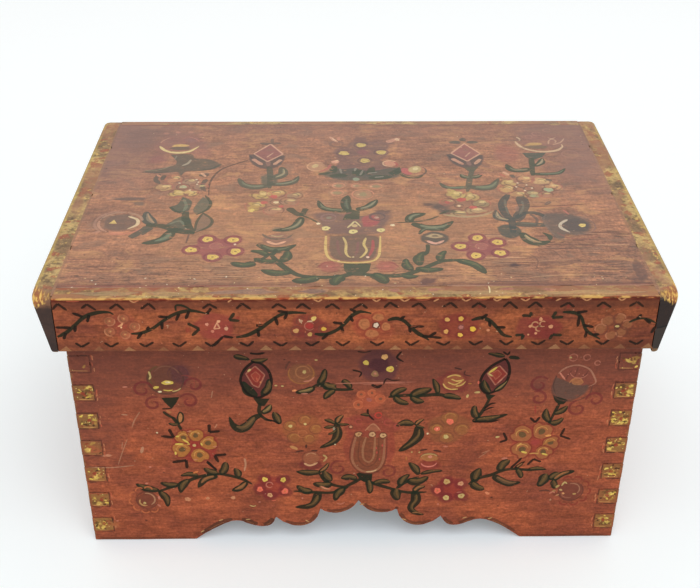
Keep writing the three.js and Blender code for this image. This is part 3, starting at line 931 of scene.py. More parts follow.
def red_rosette(art, x, y, reach, dots):
    """A rosette of deep red washes with light dots (dx, dy, radius, colour)."""
    art.wash(x, y, reach * 0.72, reach * 0.72, RED, 0.62)
    for dx, dy, *_ in dots:
        art.wash(x + dx, y + dy, reach * 0.36, reach * 0.36, WINE, 0.6, soft=1.4)
    for dx, dy, r, colour in dots:
        art.dot(x + dx, y + dy, r, colour)
        art.dot(x + dx, y + dy, r * 0.3, OCHRE, 0.8)


def curl(art, x, y, r, colour=WINE, solid=0.62, start=0, way=1):
    """A faint spiral."""
    points = []
    for index in range(12):
        share = index / 11
        angle = math.radians(start + way * 400 * share)
        radius = r * 1.1 * (1 - 0.74 * share)
        points.append((x + radius * math.cos(angle), y + radius * math.sin(angle)))
    art.brush(points, 1.5, colour, solid, (0.6, 0.5))


def front_cup_left(art):
    art.wash(-105, 120.2, 10.4, 9.4, (104, 66, 44), 0.66, soft=1.4)
    art.wash(-101, 123, 11, 9.6, (100, 56, 52), 0.35)
    art.wash(-97, 123.5, 5.4, 5.8, PLUM, 0.62, soft=1.6)
    each(art.arc, (
        (-105.2, 120, 10, 140, 400, 1.2, BROWN, 0.7), (-104.4, 121.6, 7.4, 20, 150, 0.8, (144, 96, 72), 0.5),
        (-106.2, 121.5, 8, 110, 215, 1.2, OLIVE, 0.7), (-98, 123.6, 5.6, -80, 200, 0.7, PLUM, 0.6),
        (-94.5, 117.5, 5.2, -60, 110, 0.7, ROSE, 0.4)
    ))
    each(art.blob, (
        (-104.2, 117.8, 3.5, 1.5, YELLOW, 0.95), (-104, 118, 1.6, 0.7, CREAM, 0.9)
    ), layer="touch")
    art.brush([(-113.9, 125.5), (-113.2, 122), (-114.2, 120)], 1.1, STRAW, 0.8, layer="touch")
    each(art.blob, (
        (-110.8, 114.5, 1.9, 1, YELLOW, 0.85, 15), (-108.9, 111.6, 1.3, 0.7, CREAM, 0.9)
    ), layer="touch")
    each(art.brush, (
        ([(-107, 112.8), (-104, 112.3), (-101.5, 112.8)], 0.8, YELLOW, 0.85),
        ([(-102, 111.6), (-98.8, 112.6), (-97, 114.2)], 0.8, STRAW, 0.7)
    ), layer="touch")
    for x, y, r, start, way in (
        (-113.2, 103.2, 4.6, 60, 1), (-93.2, 105, 5, 150, -1), (-118.5, 113, 5.6, 10, 1),
        (-89.6, 116, 5, 180, -1)
    ):
        curl(art, x, y, r, start=start, way=way, solid=0.62)
    art.wash(-93.2, 105, 3.4, 3.6, RED, 0.28)
    art.patch([(-108.6, 107.4), (-98.2, 107.9), (-100.2, 103.8), (-103.4, 99.4), (-107, 104.2)], GREEN, 0.95)
    each(art.brush, (
        ([(-108.8, 99.6), (-103.6, 99.8)], 0.9),
        ([(-108.4, 97.8), (-105.4, 94.8), (-101.6, 92.6)], 1.8, GREEN),
        ([(-106.4, 98.6), (-103.6, 96.6)], 1.6, TAN, 0.6)
    ))
    art.brush([(-103.6, 94), (-101, 89.6), (-98.6, 83.4)], 2, GREEN, ends=(0.7, 0.5))
    art.blob(-98.9, 93.2, 2.1, 4.7, GREEN, 0.92, -8)
    art.blob(-98.9, 93.2, 1.2, 3.4, TAN, 0.85, -8, layer="line")
    art.leaf((-100, 88.6), (-106, 89.4), 2.4, 0.1)


def front_cup_right(art):
    art.cloud([
        (110.6, 121), (115, 119), (122, 116), (131, 115), (130, 109), (124, 104.6), (117, 104), (111, 108),
        (109.4, 114)
    ], (94, 72, 62), 0.82, 1.4)
    art.arc(119, 112.6, 9, 150, 330, 1, (92, 62, 54), 0.5)
    rim = [
        (112.6, 122.6), (116.6, 126.6), (123, 128.2), (129.4, 125.6), (133, 120), (134, 116), (130.2, 113.4)
    ]
    art.patch([
        (113.4, 122.6), (117.6, 126.4), (122.8, 127.6), (128.8, 125), (132.4, 119.6), (133, 116), (127, 114),
        (119, 117)
    ], (134, 72, 58), 0.7)
    each(art.brush, (
        (rim, 1, (186, 128, 102), 0.68),
        ([(112, 121.6), (110.6, 114.6), (112.4, 108.6)], 0.8, (80, 54, 46), 0.55),
        ([(132.6, 114.6), (131.6, 108.6), (126.6, 104.4), (120.6, 103.2)], 0.8, (80, 54, 46), 0.55)
    ))
    for points in (
        [(117, 118.2), (118.4, 122), (120.2, 125)], [(121.8, 120.4), (122.8, 124), (123.2, 127)],
        [(126, 119.4), (128, 122), (129.2, 124.6)]
    ):
        art.brush(points, 0.7, (92, 50, 42), 0.6)
    art.brush([(113.4, 123.2), (115.4, 120.4), (117, 118.2)], 1, PINK, 0.85)
    art.brush([(119.4, 116), (121, 118.6), (124.6, 119.4), (127.4, 116.4)], 0.9, TAN, 0.75)
    art.blob(123.8, 116.6, 3.6, 2.1, TAN, 0.6, -10)
    each(art.dot, (
        (118.2, 122), (121.8, 124.2), (126.6, 121.4), (124.2, 122.4)
    ), r=0.5, colour=PINK, solid=0.7)
    art.arc(124.4, 125, 5.6, 200, 330, 0.6, PINK, 0.5)
    each(
        art.arc, ((119.9, 133.4, 2.3), (127.4, 133.4, 1.9), (133.6, 129.6, 1.5)), start=0, end=340, width=0.7,
        colour=PINK, solid=0.5
    )
    art.dot(118.4, 133.4, 0.8, STRAW, 0.8)
    art.patch([(110.8, 107.8), (120.4, 104.2), (117.8, 101.2), (114.8, 101), (112.2, 104)], GREEN, 0.95)
    art.brush([(115.2, 101.4), (113.2, 95.4), (110.2, 86.4)], 1.8, GREEN, ends=(0.7, 0.4))
    leaves(art, (
        (112.8, 94.4, 120.2, 100.2, 4, -0.1), (110.8, 88.6, 108.4, 98.4, 4.6, 0.12),
        (111, 87.6, 118.6, 91.6, 4.2, -0.15)
    ))
    curl(art, 102.8, 115, 5.4, start=40)
    curl(art, 103, 105.6, 4.8, start=120, way=-1, solid=0.62)
    curl(art, 126, 98.2, 5.2, start=100, solid=0.62)
    curl(art, 135.2, 104.4, 4.9, start=180, way=-1, solid=0.62)
    art.wash(102.8, 115, 4.4, 4.2, PLUM, 0.3)


def front_diamond(art, x, y, outline, diamond, glints):
    """A pointed bud with a red diamond. All places are offsets from x, y."""

    def at(points):
        return [(x + px, y + py) for px, py in points]

    ring = at(outline)
    art.shape(spline(ring + ring[:1], 1.6)[:-1], (94, 42, 40), 0.85)
    art.brush(ring + ring[:1], 1.6, INK, 0.92, (0.9, 0.9))
    art.patch(at(diamond), (142, 54, 44), 0.9, "line")
    middle = [(px * 0.5 + x, py * 0.5 + y + 1) for px, py in diamond]
    art.patch(middle, (156, 66, 50), 0.7, "line")
    for a, b in zip(diamond, diamond[1:] + diamond[:1]):
        art.brush(at([a, b]), 0.8, (184, 116, 92), 0.7, (0.6, 0.6), layer="touch")
    for a, b in zip(middle, middle[1:] + middle[:1]):
        art.brush([a, b], 0.6, (190, 112, 84), 0.5, (0.5, 0.5), layer="touch")
    for px, py, rx, ry, turn, colour in glints:
        art.blob(x + px, y + py, rx, ry, colour, 0.85, turn, layer="touch")


def front_bud_left(art):
    art.wash(-54.5, 110, 3, 4, RED, 0.7)
    front_diamond(
        art, -55, 119.5,
        (
            (-1, 12.4), (-6.4, 6.6), (-8.7, -0.6), (-6.4, -7.6), (-2.2, -11.6), (2.2, -12), (6, -8.6),
            (8.4, -2), (7.2, 5.6), (3.4, 10.6)
        ),
        ((-5.6, 4), (-0.2, 9.2), (4.9, 3.2), (1.2, -5.4), (-2, -3.6)),
        (
            (-3.6, 6.4, 1.5, 0.7, 50, STRAW), (2.4, -1.8, 0.6, 0.9, 0, (206, 130, 80)),
            (0.6, 0.2, 0.7, 1.6, 20, (196, 96, 70))
        )
    )
    art.leaf((-55, 108), (-62.4, 118.4), 6, 0.12, glow=0)
    art.leaf((-52.4, 108.4), (-48, 120), 5, -0.14, inner=OLIVE, glow=0.55)
    art.blade([(-66.8, 135.4), (-63, 134.6), (-58, 133)], 3.6, glow=0.35)
    art.leaf((-57.4, 132.4), (-48, 133.6), 3.4, -0.1, glow=0.5)
    art.brush([(-57.8, 137.4), (-53.8, 136.8), (-49.4, 137.6)], 1.4)
    art.patch([(-57.4, 107), (-47.8, 106.4), (-51, 101), (-54.2, 101.2)], GREEN, 0.95)
    art.brush([(-53.4, 103.4), (-54.2, 97), (-51.4, 92.4), (-47.4, 90.6)], 2, GREEN, ends=(0.8, 0.5))
    art.leaf((-53, 96.2), (-47.4, 102.2), 4.4, -0.12, inner=LEAF_PALE, glow=0.5)
    art.blade([(-43, 88.2), (-44, 92), (-46.4, 97)], 4.8, glow=0.5, belly=0.9)
    art.brush([(-50.4, 91.6), (-46, 90.4), (-43, 88.4)], 1.3)
    art.blade([
        (-52.6, 95.2), (-57.4, 92.6), (-61.4, 87.2), (-65.6, 85), (-69.2, 87.6), (-71.2, 93.6)
    ], 5.6, inner=(104, 80, 52), glow=0.6)


def front_bud_right(art):
    front_diamond(
        art, 78, 120.5,
        (
            (4.4, 12.4), (-2.8, 7.4), (-7.4, 1), (-8.3, -6), (-5, -11), (-0.2, -10), (5.6, -4), (7.4, 2.5),
            (6.6, 8.6)
        ),
        ((-5, 2.4), (1.6, 7.6), (6.2, 2), (0.2, -5.6)),
        ((-1.8, 4.8, 3.2, 0.8, 42, YELLOW), (-3.2, 1.6, 2, 0.6, -40, STRAW), (2.6, -2.6, 2.2, 0.5, 52, PINK))
    )
    art.leaf((75.6, 109), (71.4, 118.6), 4.8, 0.1, glow=0.35)
    art.leaf((77.6, 110.4), (84.8, 118), 3.4, -0.05, inner=LEAF_PALE, glow=0.4)
    art.blade([(82, 134.4), (77.6, 135.4), (72.6, 136.4)], 3, glow=0.25)
    art.blade([(84.2, 133.8), (87.4, 133.6), (90.4, 132.8)], 2.6, glow=0)
    art.brush([(80.8, 137.6), (83.4, 135.6), (84.6, 137.8)], 1.3)
    art.patch([(72.6, 109.2), (79, 107.8), (75.6, 104.6), (74, 105.4)], GREEN, 0.95)
    art.brush([(75.8, 106.4), (73.4, 99.6), (69.2, 90.6)], 1.9, GREEN, ends=(0.8, 0.7))
    art.brush([(73, 98.4), (76.4, 101.8), (79.4, 102.4)], 1.3)
    art.brush([(72.4, 96.6), (76.2, 99), (78.6, 99.2)], 1)
    art.leaf((69.6, 91.6), (67.6, 100.8), 4.8, 0.12, glow=0.4)
    art.blade([(66.8, 89.6), (71.6, 90.8), (77.8, 91.6), (86.6, 94.4)], 4.4, glow=0.5, belly=0.7)
    art.brush([(67, 89.2), (76.4, 89), (82.4, 90.6)], 1.2)


def ochre_petal(art, x, y, centre, r, colour):
    """A square-ended petal that points away from the centre, with a red outline and a dark heart."""
    ux, uy = x - centre[0], y - centre[1]
    reach = math.hypot(ux, uy)
    ux, uy = ux / reach, uy / reach

    def at(along, across):
        return x + ux * along * r - uy * across * r, y + uy * along * r + ux * across * r

    outline = [
        at(-0.95, -0.4), at(-0.2, -1.05), at(0.75, -0.95), at(1.1, -0.2), at(0.85, 0.35), at(0.95, 0.8),
        at(0.2, 1.1), at(-0.9, 0.45)
    ]
    art.shape(spline([*outline, outline[0]], 1.2)[:-1], colour, 0.85, 0.5, "body")
    art.brush([*outline[1:], outline[0]], 1, (128, 48, 38), 0.7, (0.5, 0.5))
    art.blob(x, y, r * 0.44, r * 0.38, (92, 74, 46), 0.85, math.degrees(math.atan2(uy, ux)), 0.4, "line")
    art.arc(x, y, r * 0.62, 20, 200, 0.6, (214, 160, 84), 0.6, "touch")


def front_rosette_left(art):
    centre = (-91.9, 73.4)
    art.wash(-91.5, 73, 13, 11.2, (156, 50, 44), 0.62)
    for x, y, r in (
        (-98.2, 79, 4.4), (-91.2, 80.4, 4.4), (-84.4, 74.8, 4.8), (-89.8, 66, 5), (-99.6, 70.2, 5.1)
    ):
        ochre_petal(art, x, y, centre, r, OCHRE)
    art.blob(-92.4, 73.4, 2.6, 2.4, (150, 52, 44), 0.85, 0, layer="touch")
    art.dot(-92.4, 73.2, 1.2, STRAW, 0.8)
    for x, y, rx, ry, turn in (
        (-101, 74.2, 2.8, 0.7, 0), (-97.2, 76.4, 2.6, 0.6, -40), (-101.6, 79.8, 1.2, 0.7, 0),
        (-103.6, 67.4, 0.7, 1.4, 0), (-88.2, 74, 0.6, 1.2, 20), (-95.6, 74.2, 1, 0.5, 0)
    ):
        art.blob(x, y, rx, ry, YELLOW, 0.9, turn, layer="touch")
    for x, y in ((-84, 77.6), (-80.6, 72), (-92.6, 62.4), (-94.8, 83.2)):
        art.brush([(x - 1.2, y), (x + 1.4, y + 0.4)], 0.7, PINK, 0.7, layer="touch")
    each(art.chevron, (
        ((-106, 85.2), (-103.8, 79), (-111, 80.2)), ((-83, 88.4), (-83.2, 82.8), (-77.2, 83.4)),
        ((-74.4, 66.4), (-81.2, 65.6), (-79.2, 60.4)), ((-106, 60.6), (-97.8, 62.2), (-97.8, 56))
    ), width=1.9)
    art.brush([(-86.2, 61), (-80.6, 54.4)], 1.4)


def front_rosette_right(art):
    centre = (103.8, 74)
    art.wash(103.6, 73.8, 13, 11, (152, 52, 44), 0.55)
    for x, y, r in (
        (96.2, 79.6, 5.8), (107.2, 81.8, 5.6), (113, 73.6, 4.6), (109.4, 66.8, 4.8), (97, 68.8, 5.6)
    ):
        ochre_petal(art, x, y, centre, r, (162, 98, 58))
    art.blob(104.2, 73.8, 2.6, 2.4, ROSE, 0.8, 0, layer="touch")
    each(art.brush, (
        ([(96.6, 67.2), (100, 66)], 1.3, YELLOW, 0.9),
        ([(101.4, 65.4), (104.4, 65.8), (107, 65.2)], 0.9, (214, 160, 88), 0.8),
        ([(108.6, 65.6), (112.2, 64.4)], 1.1, YELLOW, 0.85),
        ([(93.6, 71), (96.4, 73.6)], 0.8, (222, 170, 92), 0.7)
    ), layer="touch")
    art.blob(111.2, 78.8, 2, 0.8, (236, 160, 90), 0.9, 10, layer="touch")
    art.brush([(108.6, 71.6), (111.4, 74.4), (115, 75.2)], 0.9, OCHRE, 0.8, layer="touch")
    each(art.chevron, (
        ((99.6, 92), (102.8, 88.4), (105.2, 92.4)), ((85.2, 81.2), (87.6, 75.8), (83.4, 74)),
        ((120.2, 84.2), (118.2, 78.6), (124.4, 76)), ((101, 57), (104.2, 61.4), (109, 59.2))
    ), width=1.5)
    art.brush([(101.8, 100.6), (102.4, 94.6)], 0.9, RED, 0.6)
    each(art.blob, ((82, 78, 1.4, 0.8, STRAW, 0.8, 10), (87.2, 62, 2, 0.8, PINK, 0.7, 10)), layer="touch")


def front_spray_left(art):
    art.brush([
        (-60.4, 43.6), (-66, 47.6), (-75, 50.8), (-81, 51.6), (-91, 49.6), (-99.7, 45.6), (-109, 41.4),
        (-116, 38.4)
    ], 2.2, GREEN, ends=(0.3, 0.8))
    leaves(art, (
        (-78.6, 51, -75.2, 60.8, 5.4, -0.1), (-80, 52, -88, 56.2, 4.8, 0.1),
        (-68.2, 48.6, -70.2, 56, 4.6, -0.1), (-91.6, 50.4, -102, 50.4, 3.6, -0.12),
        (-97, 47.4, -103, 37.2, 5.4, -0.14), (-103.4, 43.6, -114.4, 45.2, 4.4, 0.1),
        (-115.4, 39.2, -128.8, 44.4, 5, 0.08), (-115.6, 38.6, -111.4, 26.4, 5, 0.14)
    ))
    leaves(art, ((-80.4, 50, -92.4, 41.2, 4.6, -0.16), (-63.6, 45.6, -72.6, 38.6, 4.8, 0.12)), inner=LEAF_TAN)
    art.brush([(-80.6, 54.6), (-83.6, 58.6), (-86, 61.8)], 1.3)
    art.wash(-123.2, 31.8, 6.2, 6, (120, 64, 46), 0.8, soft=1.2)
    art.arc(-123.2, 31.8, 6.4, 0, 350, 0.9, (98, 54, 42), 0.6)
    art.arc(-123.4, 32.4, 4.8, -60, 100, 0.9, (182, 134, 98), 0.75)
    art.arc(-124.6, 30.6, 3.2, 150, 290, 1, (204, 156, 96), 0.75)
    for angle in range(80, 330, 36):
        bx, by = -123.4 + 8.2 * math.cos(math.radians(angle)), 31.9 + 8 * math.sin(math.radians(angle))
        art.arc(bx, by, 2.4, angle - 75, angle + 75, 1, (198, 108, 66), 0.75)
    art.brush([(-117.4, 28.4), (-115.6, 26.4)], 1.2, PINK, 0.6)
    art.dot(-124.9, 29.4, 1.1, STRAW, 0.85)
    each(art.dot, (
        (-99.1, 32.2, 1.9), (-87.2, 32.9, 1.3), (-72.1, 33.2, 1.5)
    ), colour=(206, 140, 100), solid=0.8)
    art.brush([(-62.6, 27.2), (-60.4, 26.2), (-58.8, 27)], 0.8, STRAW, 0.7)


def front_spray_right(art):
    art.brush([
        (67.4, 42.2), (71.6, 46.6), (80, 49.4), (86, 52.6), (93, 54), (102, 53.2), (111.8, 53.8)
    ], 2.2, GREEN, ends=(0.6, 0.4))
    leaves(art, (
        (70.6, 44, 73.6, 54.8, 6.6, 0.06), (69, 43.6, 77, 38.4, 5.4, -0.1), (85, 52.4, 90.6, 60.6, 6, 0.16),
        (95, 53.6, 98.2, 46.8, 4, 0.1), (101.4, 53.4, 112.6, 53.4, 3, 0.08),
        (112.6, 50.2, 108.6, 40.4, 6.6, 0.08), (114.8, 45.6, 120.8, 50.6, 5.2, 0.1),
        (116.8, 44.8, 118.6, 38.4, 4.6, 0.1)
    ))
    art.blade([
        (81.4, 48.8), (87, 44.8), (92, 42.8), (98.2, 43.8)
    ], 5.2, inner=(112, 82, 56), glow=0.55, belly=0.75)
    art.blade([(116.8, 44.6), (121.8, 49.6), (129.4, 52.2)], 4.2, inner=LEAF_TAN, glow=0.5)
    for points in ([(91.4, 54.8), (94.6, 58.6), (97.4, 62.6)], [(93.6, 54.4), (97, 58), (99.6, 59.6)]):
        art.brush(points, 1.5)
    art.leaf((94.2, 54.6), (98.6, 58.8), 2.4, 0, inner=LEAF_TAN)
    art.brush([(109.6, 36.6), (113.4, 37.4), (116.6, 36.4)], 1.1, BROWN, 0.8)
    art.wash(128.6, 36.8, 7.6, 7.2, (118, 64, 50), 0.75, soft=1.2)
    art.arc(128.6, 36.8, 7.4, 120, 400, 0.9, (92, 52, 42), 0.7)
    art.arc(129.2, 38, 4.6, -40, 110, 0.8, (176, 124, 92), 0.6)
    art.arc(127.4, 35.8, 4.4, 190, 300, 0.8, (170, 112, 84), 0.5)
    for angle in range(-110, 120, 36):
        bx, by = 128.6 + 9.2 * math.cos(math.radians(angle)), 36.8 + 8.8 * math.sin(math.radians(angle))
        art.arc(bx, by, 2.6, angle - 75, angle + 75, 1.1, (134, 52, 40), 0.75)
    for x, y, rx, ry, turn, colour in (
        (120.4, 40.4, 1.6, 0.9, 40, (190, 160, 96)), (122.6, 37.6, 1.2, 0.8, -20, (206, 170, 110)),
        (118.6, 36.8, 1.4, 0.7, 10, (176, 132, 84)), (121, 33.6, 1.3, 0.7, 30, (196, 140, 96))
    ):
        art.blob(x, y, rx, ry, colour, 0.75, turn, layer="touch")
    art.brush([(122.8, 40.8), (124.4, 43.6), (126, 42.2)], 1.2, STRAW, 0.75)
    art.dot(124.4, 34.8, 0.9, (226, 160, 104), 0.85)
    art.blob(131, 34.4, 1.3, 0.8, (190, 150, 90), 0.8, layer="touch")
    art.brush([(116, 34.6), (118, 36.2), (119.4, 35)], 1, PINK, 0.7)
    art.blob(79, 35.4, 1.8, 1, (226, 140, 100), 0.75, -30, layer="touch")


def front_middle(art):
    art.wash(-29.8, 123.4, 7.2, 6.8, (140, 92, 58), 0.55)
    art.arc(-30, 123.6, 7, 150, 420, 0.8, OCHRE, 0.5)
    art.arc(-29, 124.4, 4, 0, 330, 0.7, (170, 110, 70), 0.6)
    art.dot(-28.2, 124.6, 1.3, STRAW, 0.8)
    art.brush([(-28.8, 118), (-25, 118.8), (-22.6, 121.4)], 0.9, PINK, 0.7)
    art.arc(-31, 126.2, 7.4, 130, 180, 1.2, BROWN, 0.7)
    art.blob(-34, 111.9, 1.5, 0.8, (240, 150, 96), 0.85, 10, layer="touch")
    art.brush([(-30.4, 109.6), (-26.4, 109.8)], 0.8, PINK, 0.7)
    each(
        art.blob, ((-44.2, 115.4), (-40.6, 115), (-21.6, 132.6)), rx=1, ry=0.6, colour=STRAW, solid=0.7,
        layer="touch"
    )
    art.brush([
        (-24.6, 113.6), (-20, 115.6), (-14, 113.4), (-9, 112.4), (-1, 112.4)
    ], 2.2, GREEN, ends=(0.5, 0.4))
    leaves(art, (
        (-20.6, 115.6, -16.8, 126.6, 4.6, -0.08), (-18, 116.4, -10.6, 115.4, 5.4, -0.2),
        (-17.4, 115.2, -10.4, 112, 4.4, 0.1), (-11.4, 111.8, -17.6, 105.8, 4.4, -0.1),
        (-7.4, 118.8, -2.4, 112.6, 4.4, 0.1)
    ))
    art.leaf((-22.6, 113.8), (-33.4, 110.6), 4.2, 0.08, inner=LEAF_PALE)
    art.brush([(-11, 116.6), (10, 117), (34, 117.4)], 0.6, PINK, 0.6)
    art.brush([(4, 115.8), (18, 116.6), (30, 115.8)], 0.5, PINK, 0.5)
    art.brush([
        (18.6, 107), (28.5, 108.2), (38, 108), (46.4, 108.6), (52, 107.2), (59, 105.8)
    ], 2.2, GREEN, ends=(0.4, 0.4))
    leaves(art, (
        (20, 107.2, 28.8, 112.8, 4.6, 0.12), (21.6, 107, 30.2, 102.2, 4.4, -0.1),
        (30.6, 106.8, 42.8, 112.4, 6.2, 0.06), (31, 106.8, 39, 103.6, 4.4, -0.1),
        (46.4, 108.4, 43, 119.6, 3.8, -0.06), (49, 107.8, 59.6, 105.4, 4.2, 0.06)
    ))
    art.wash(13, 128.6, 11.6, 10.6, PLUM, 0.72)
    art.wash(13.2, 129, 5.6, 5, (70, 34, 42), 0.6, soft=1.6)
    each(art.dot, (
        (5.8, 130.6, 1.8, YELLOW), (16, 134.4, 2, (226, 170, 106)), (19.2, 126.2, 2.3, YELLOW),
        (10.8, 123, 2.3, (150, 110, 74))
    ))
    art.dot(19.6, 125.8, 0.8, ORANGE, 0.8)
    art.dot(10.9, 123.2, 1, PINK, 0.7)
    each(art.brush, (
        ([(-1.8, 125.8), (3.2, 124), (2, 120.8)], 1.1, INK),
        ([(25.2, 138), (22.8, 134), (26.6, 131)], 1.3, INK),
        ([(1, 138.2), (5, 137.6), (9, 138.6)], 0.9, INK, 0.8),
        ([(9, 115.8), (12.2, 114), (15, 115.6)], 1.9, INK),
        ([(15.6, 115.6), (17.2, 119.6), (20.4, 118.6), (25.6, 118.8)], 0.9, INK, 0.85)
    ))
    art.wash(7.6, 105, 8.4, 6.6, (184, 88, 58), 0.5)
    for x, y, r in ((1.8, 101.8, 2.7), (14.2, 105.8, 2.8), (3.4, 109, 2.4), (9.4, 110, 2.3)):
        art.petal(x, y, r, (190, 96, 62), (120, 78, 56), (200, 110, 72), 0.7)
    art.dot(7.8, 105.2, 1.7, (170, 96, 84), 0.85)
    art.brush([(7.2, 98.8), (7.4, 95), (10.8, 90.6)], 1.3, INK)
    art.leaf((8.6, 93.8), (2.8, 94.6), 2.4, -0.1)
    art.arc(13.2, 94.2, 1.9, 0, 340, 0.9, (196, 66, 52), 0.85)


def front_vase(art):
    art.shape(
        spline([
            (0.4, 80), (-1.6, 70), (-1.6, 61), (2, 54.4), (7.7, 52), (13.8, 54.4), (16.8, 61), (17.4, 70),
            (17.4, 79.6), (10, 78.4), (0.4, 80)
        ], 1.2)[:-1],
        (112, 66, 44), 0.62, 0.8, "wash"
    )
    each(art.wash, (
        (9, 86.6, 15.6, 8.4, (130, 46, 46), 0.42), (19.6, 70, 3.4, 11, (140, 50, 46), 0.45),
        (-3, 72, 3.2, 11, (142, 56, 48), 0.4)
    ))
    pale, dark = (158, 104, 74), (94, 52, 38)
    each(art.brush, (
        ([
            (-0.2, 80.6), (-2.6, 70), (-2.6, 61), (1.4, 53.6), (7.7, 51), (14.4, 53.6), (17.8, 61),
            (18.4, 70), (18.4, 80.6)
        ], 0.9, dark, 0.6, (0.6, 0.6)),
        ([
            (0.9, 80), (-1.2, 70), (-1.3, 61), (2.3, 54.8), (7.7, 52.4), (13.6, 54.8), (16.4, 61), (17, 70),
            (17.1, 79.6)
        ], 1.5, pale, 0.8, (0.7, 0.6)),
        ([
            (3, 77), (2, 68), (2.8, 60.4), (7.6, 56.6), (12.4, 60.4), (13.8, 70), (13.6, 78)
        ], 0.8, dark, 0.55, (0.5, 0.5)),
        ([
            (6.4, 78.6), (4.6, 70), (5.2, 62.4), (8.4, 60), (10.8, 63.6), (11.4, 72), (11.6, 79.6)
        ], 1.3, (166, 112, 78), 0.75, (0.6, 0.6))
    ))
    art.patch([(6.2, 83.8), (10.4, 88), (14.6, 83.4), (10.2, 81.6)], (176, 116, 82), 0.45, "body")
    art.brush([(5.8, 83.2), (10.4, 88), (14.8, 82.8)], 0.9, (190, 128, 92), 0.75, (0.6, 0.6))
    for x, y, r, colour in (
        (2, 80.6, 1.9, (200, 148, 98)), (9.9, 80.4, 2, (206, 158, 112)), (16.1, 79.6, 1.9, (214, 166, 116)),
        (-2.4, 86, 1, (220, 150, 108))
    ):
        art.dot(x, y, r + 0.7, (96, 60, 42), 0.7, "line")
        art.dot(x, y, r, colour, 0.88)
        art.dot(x + 0.2, y, r * 0.4, (120, 74, 50), 0.7)
    each(
        art.blob, ((14.4, 62), (15.8, 72.2), (12.8, 67), (12.4, 70.4)), rx=0.5, ry=1.1, colour=(206, 84, 72),
        solid=0.7, layer="touch"
    )
    art.brush([(6.6, 52.6), (10.6, 52.9), (13, 54.2)], 1, (216, 176, 128), 0.7, layer="touch")
    each(
        art.arc, ((18.6, 89, 2), (2, 89.6, 2), (-4.4, 90.6, 1.6), (24, 86, 1.6)), start=0, end=330, width=0.8,
        colour=(176, 76, 66), solid=0.55
    )
    curl(art, -9.4, 55.4, 5.4, WINE, 0.55, 60)
    curl(art, 19.4, 52.4, 4.8, WINE, 0.55, 120, -1)
    each(art.blade, (
        ([(-11, 89), (-9.8, 82), (-12.2, 75.4), (-20.2, 70.8)], 5.2),
        ([(35.8, 86.6), (36.4, 79.8), (32.4, 73.8), (25.4, 67.8)], 6.4)
    ), glow=0.3, belly=0.75)
    leaves(art, (
        (-11.4, 88.2, -17.6, 91.2, 2.8, -0.1), (-11.6, 86.4, -18, 85.4, 2.4, 0),
        (-10.6, 88.4, -3.2, 87.8, 2.2, -0.05), (-10.4, 84, -15.6, 80.6, 2, 0.1)
    ))
    art.leaf((-10.6, 88.2), (-6.6, 94.4), 3.8, 0.12, inner=LEAF_TAN)
    leaves(art, ((33.6, 87.4, 23.4, 86.4, 4.6, -0.18), (34.6, 86.4, 39.8, 84.8, 2.2, 0.05)))
    art.leaf((34.2, 86.8), (39.2, 91.2), 3, 0.1, inner=LEAF_TAN)
    art.blob(-12, 84.8, 0.8, 1.4, (190, 180, 150), 0.5, layer="touch")
    art.dot(-11.4, 73.2, 0.6, CREAM, 0.9)


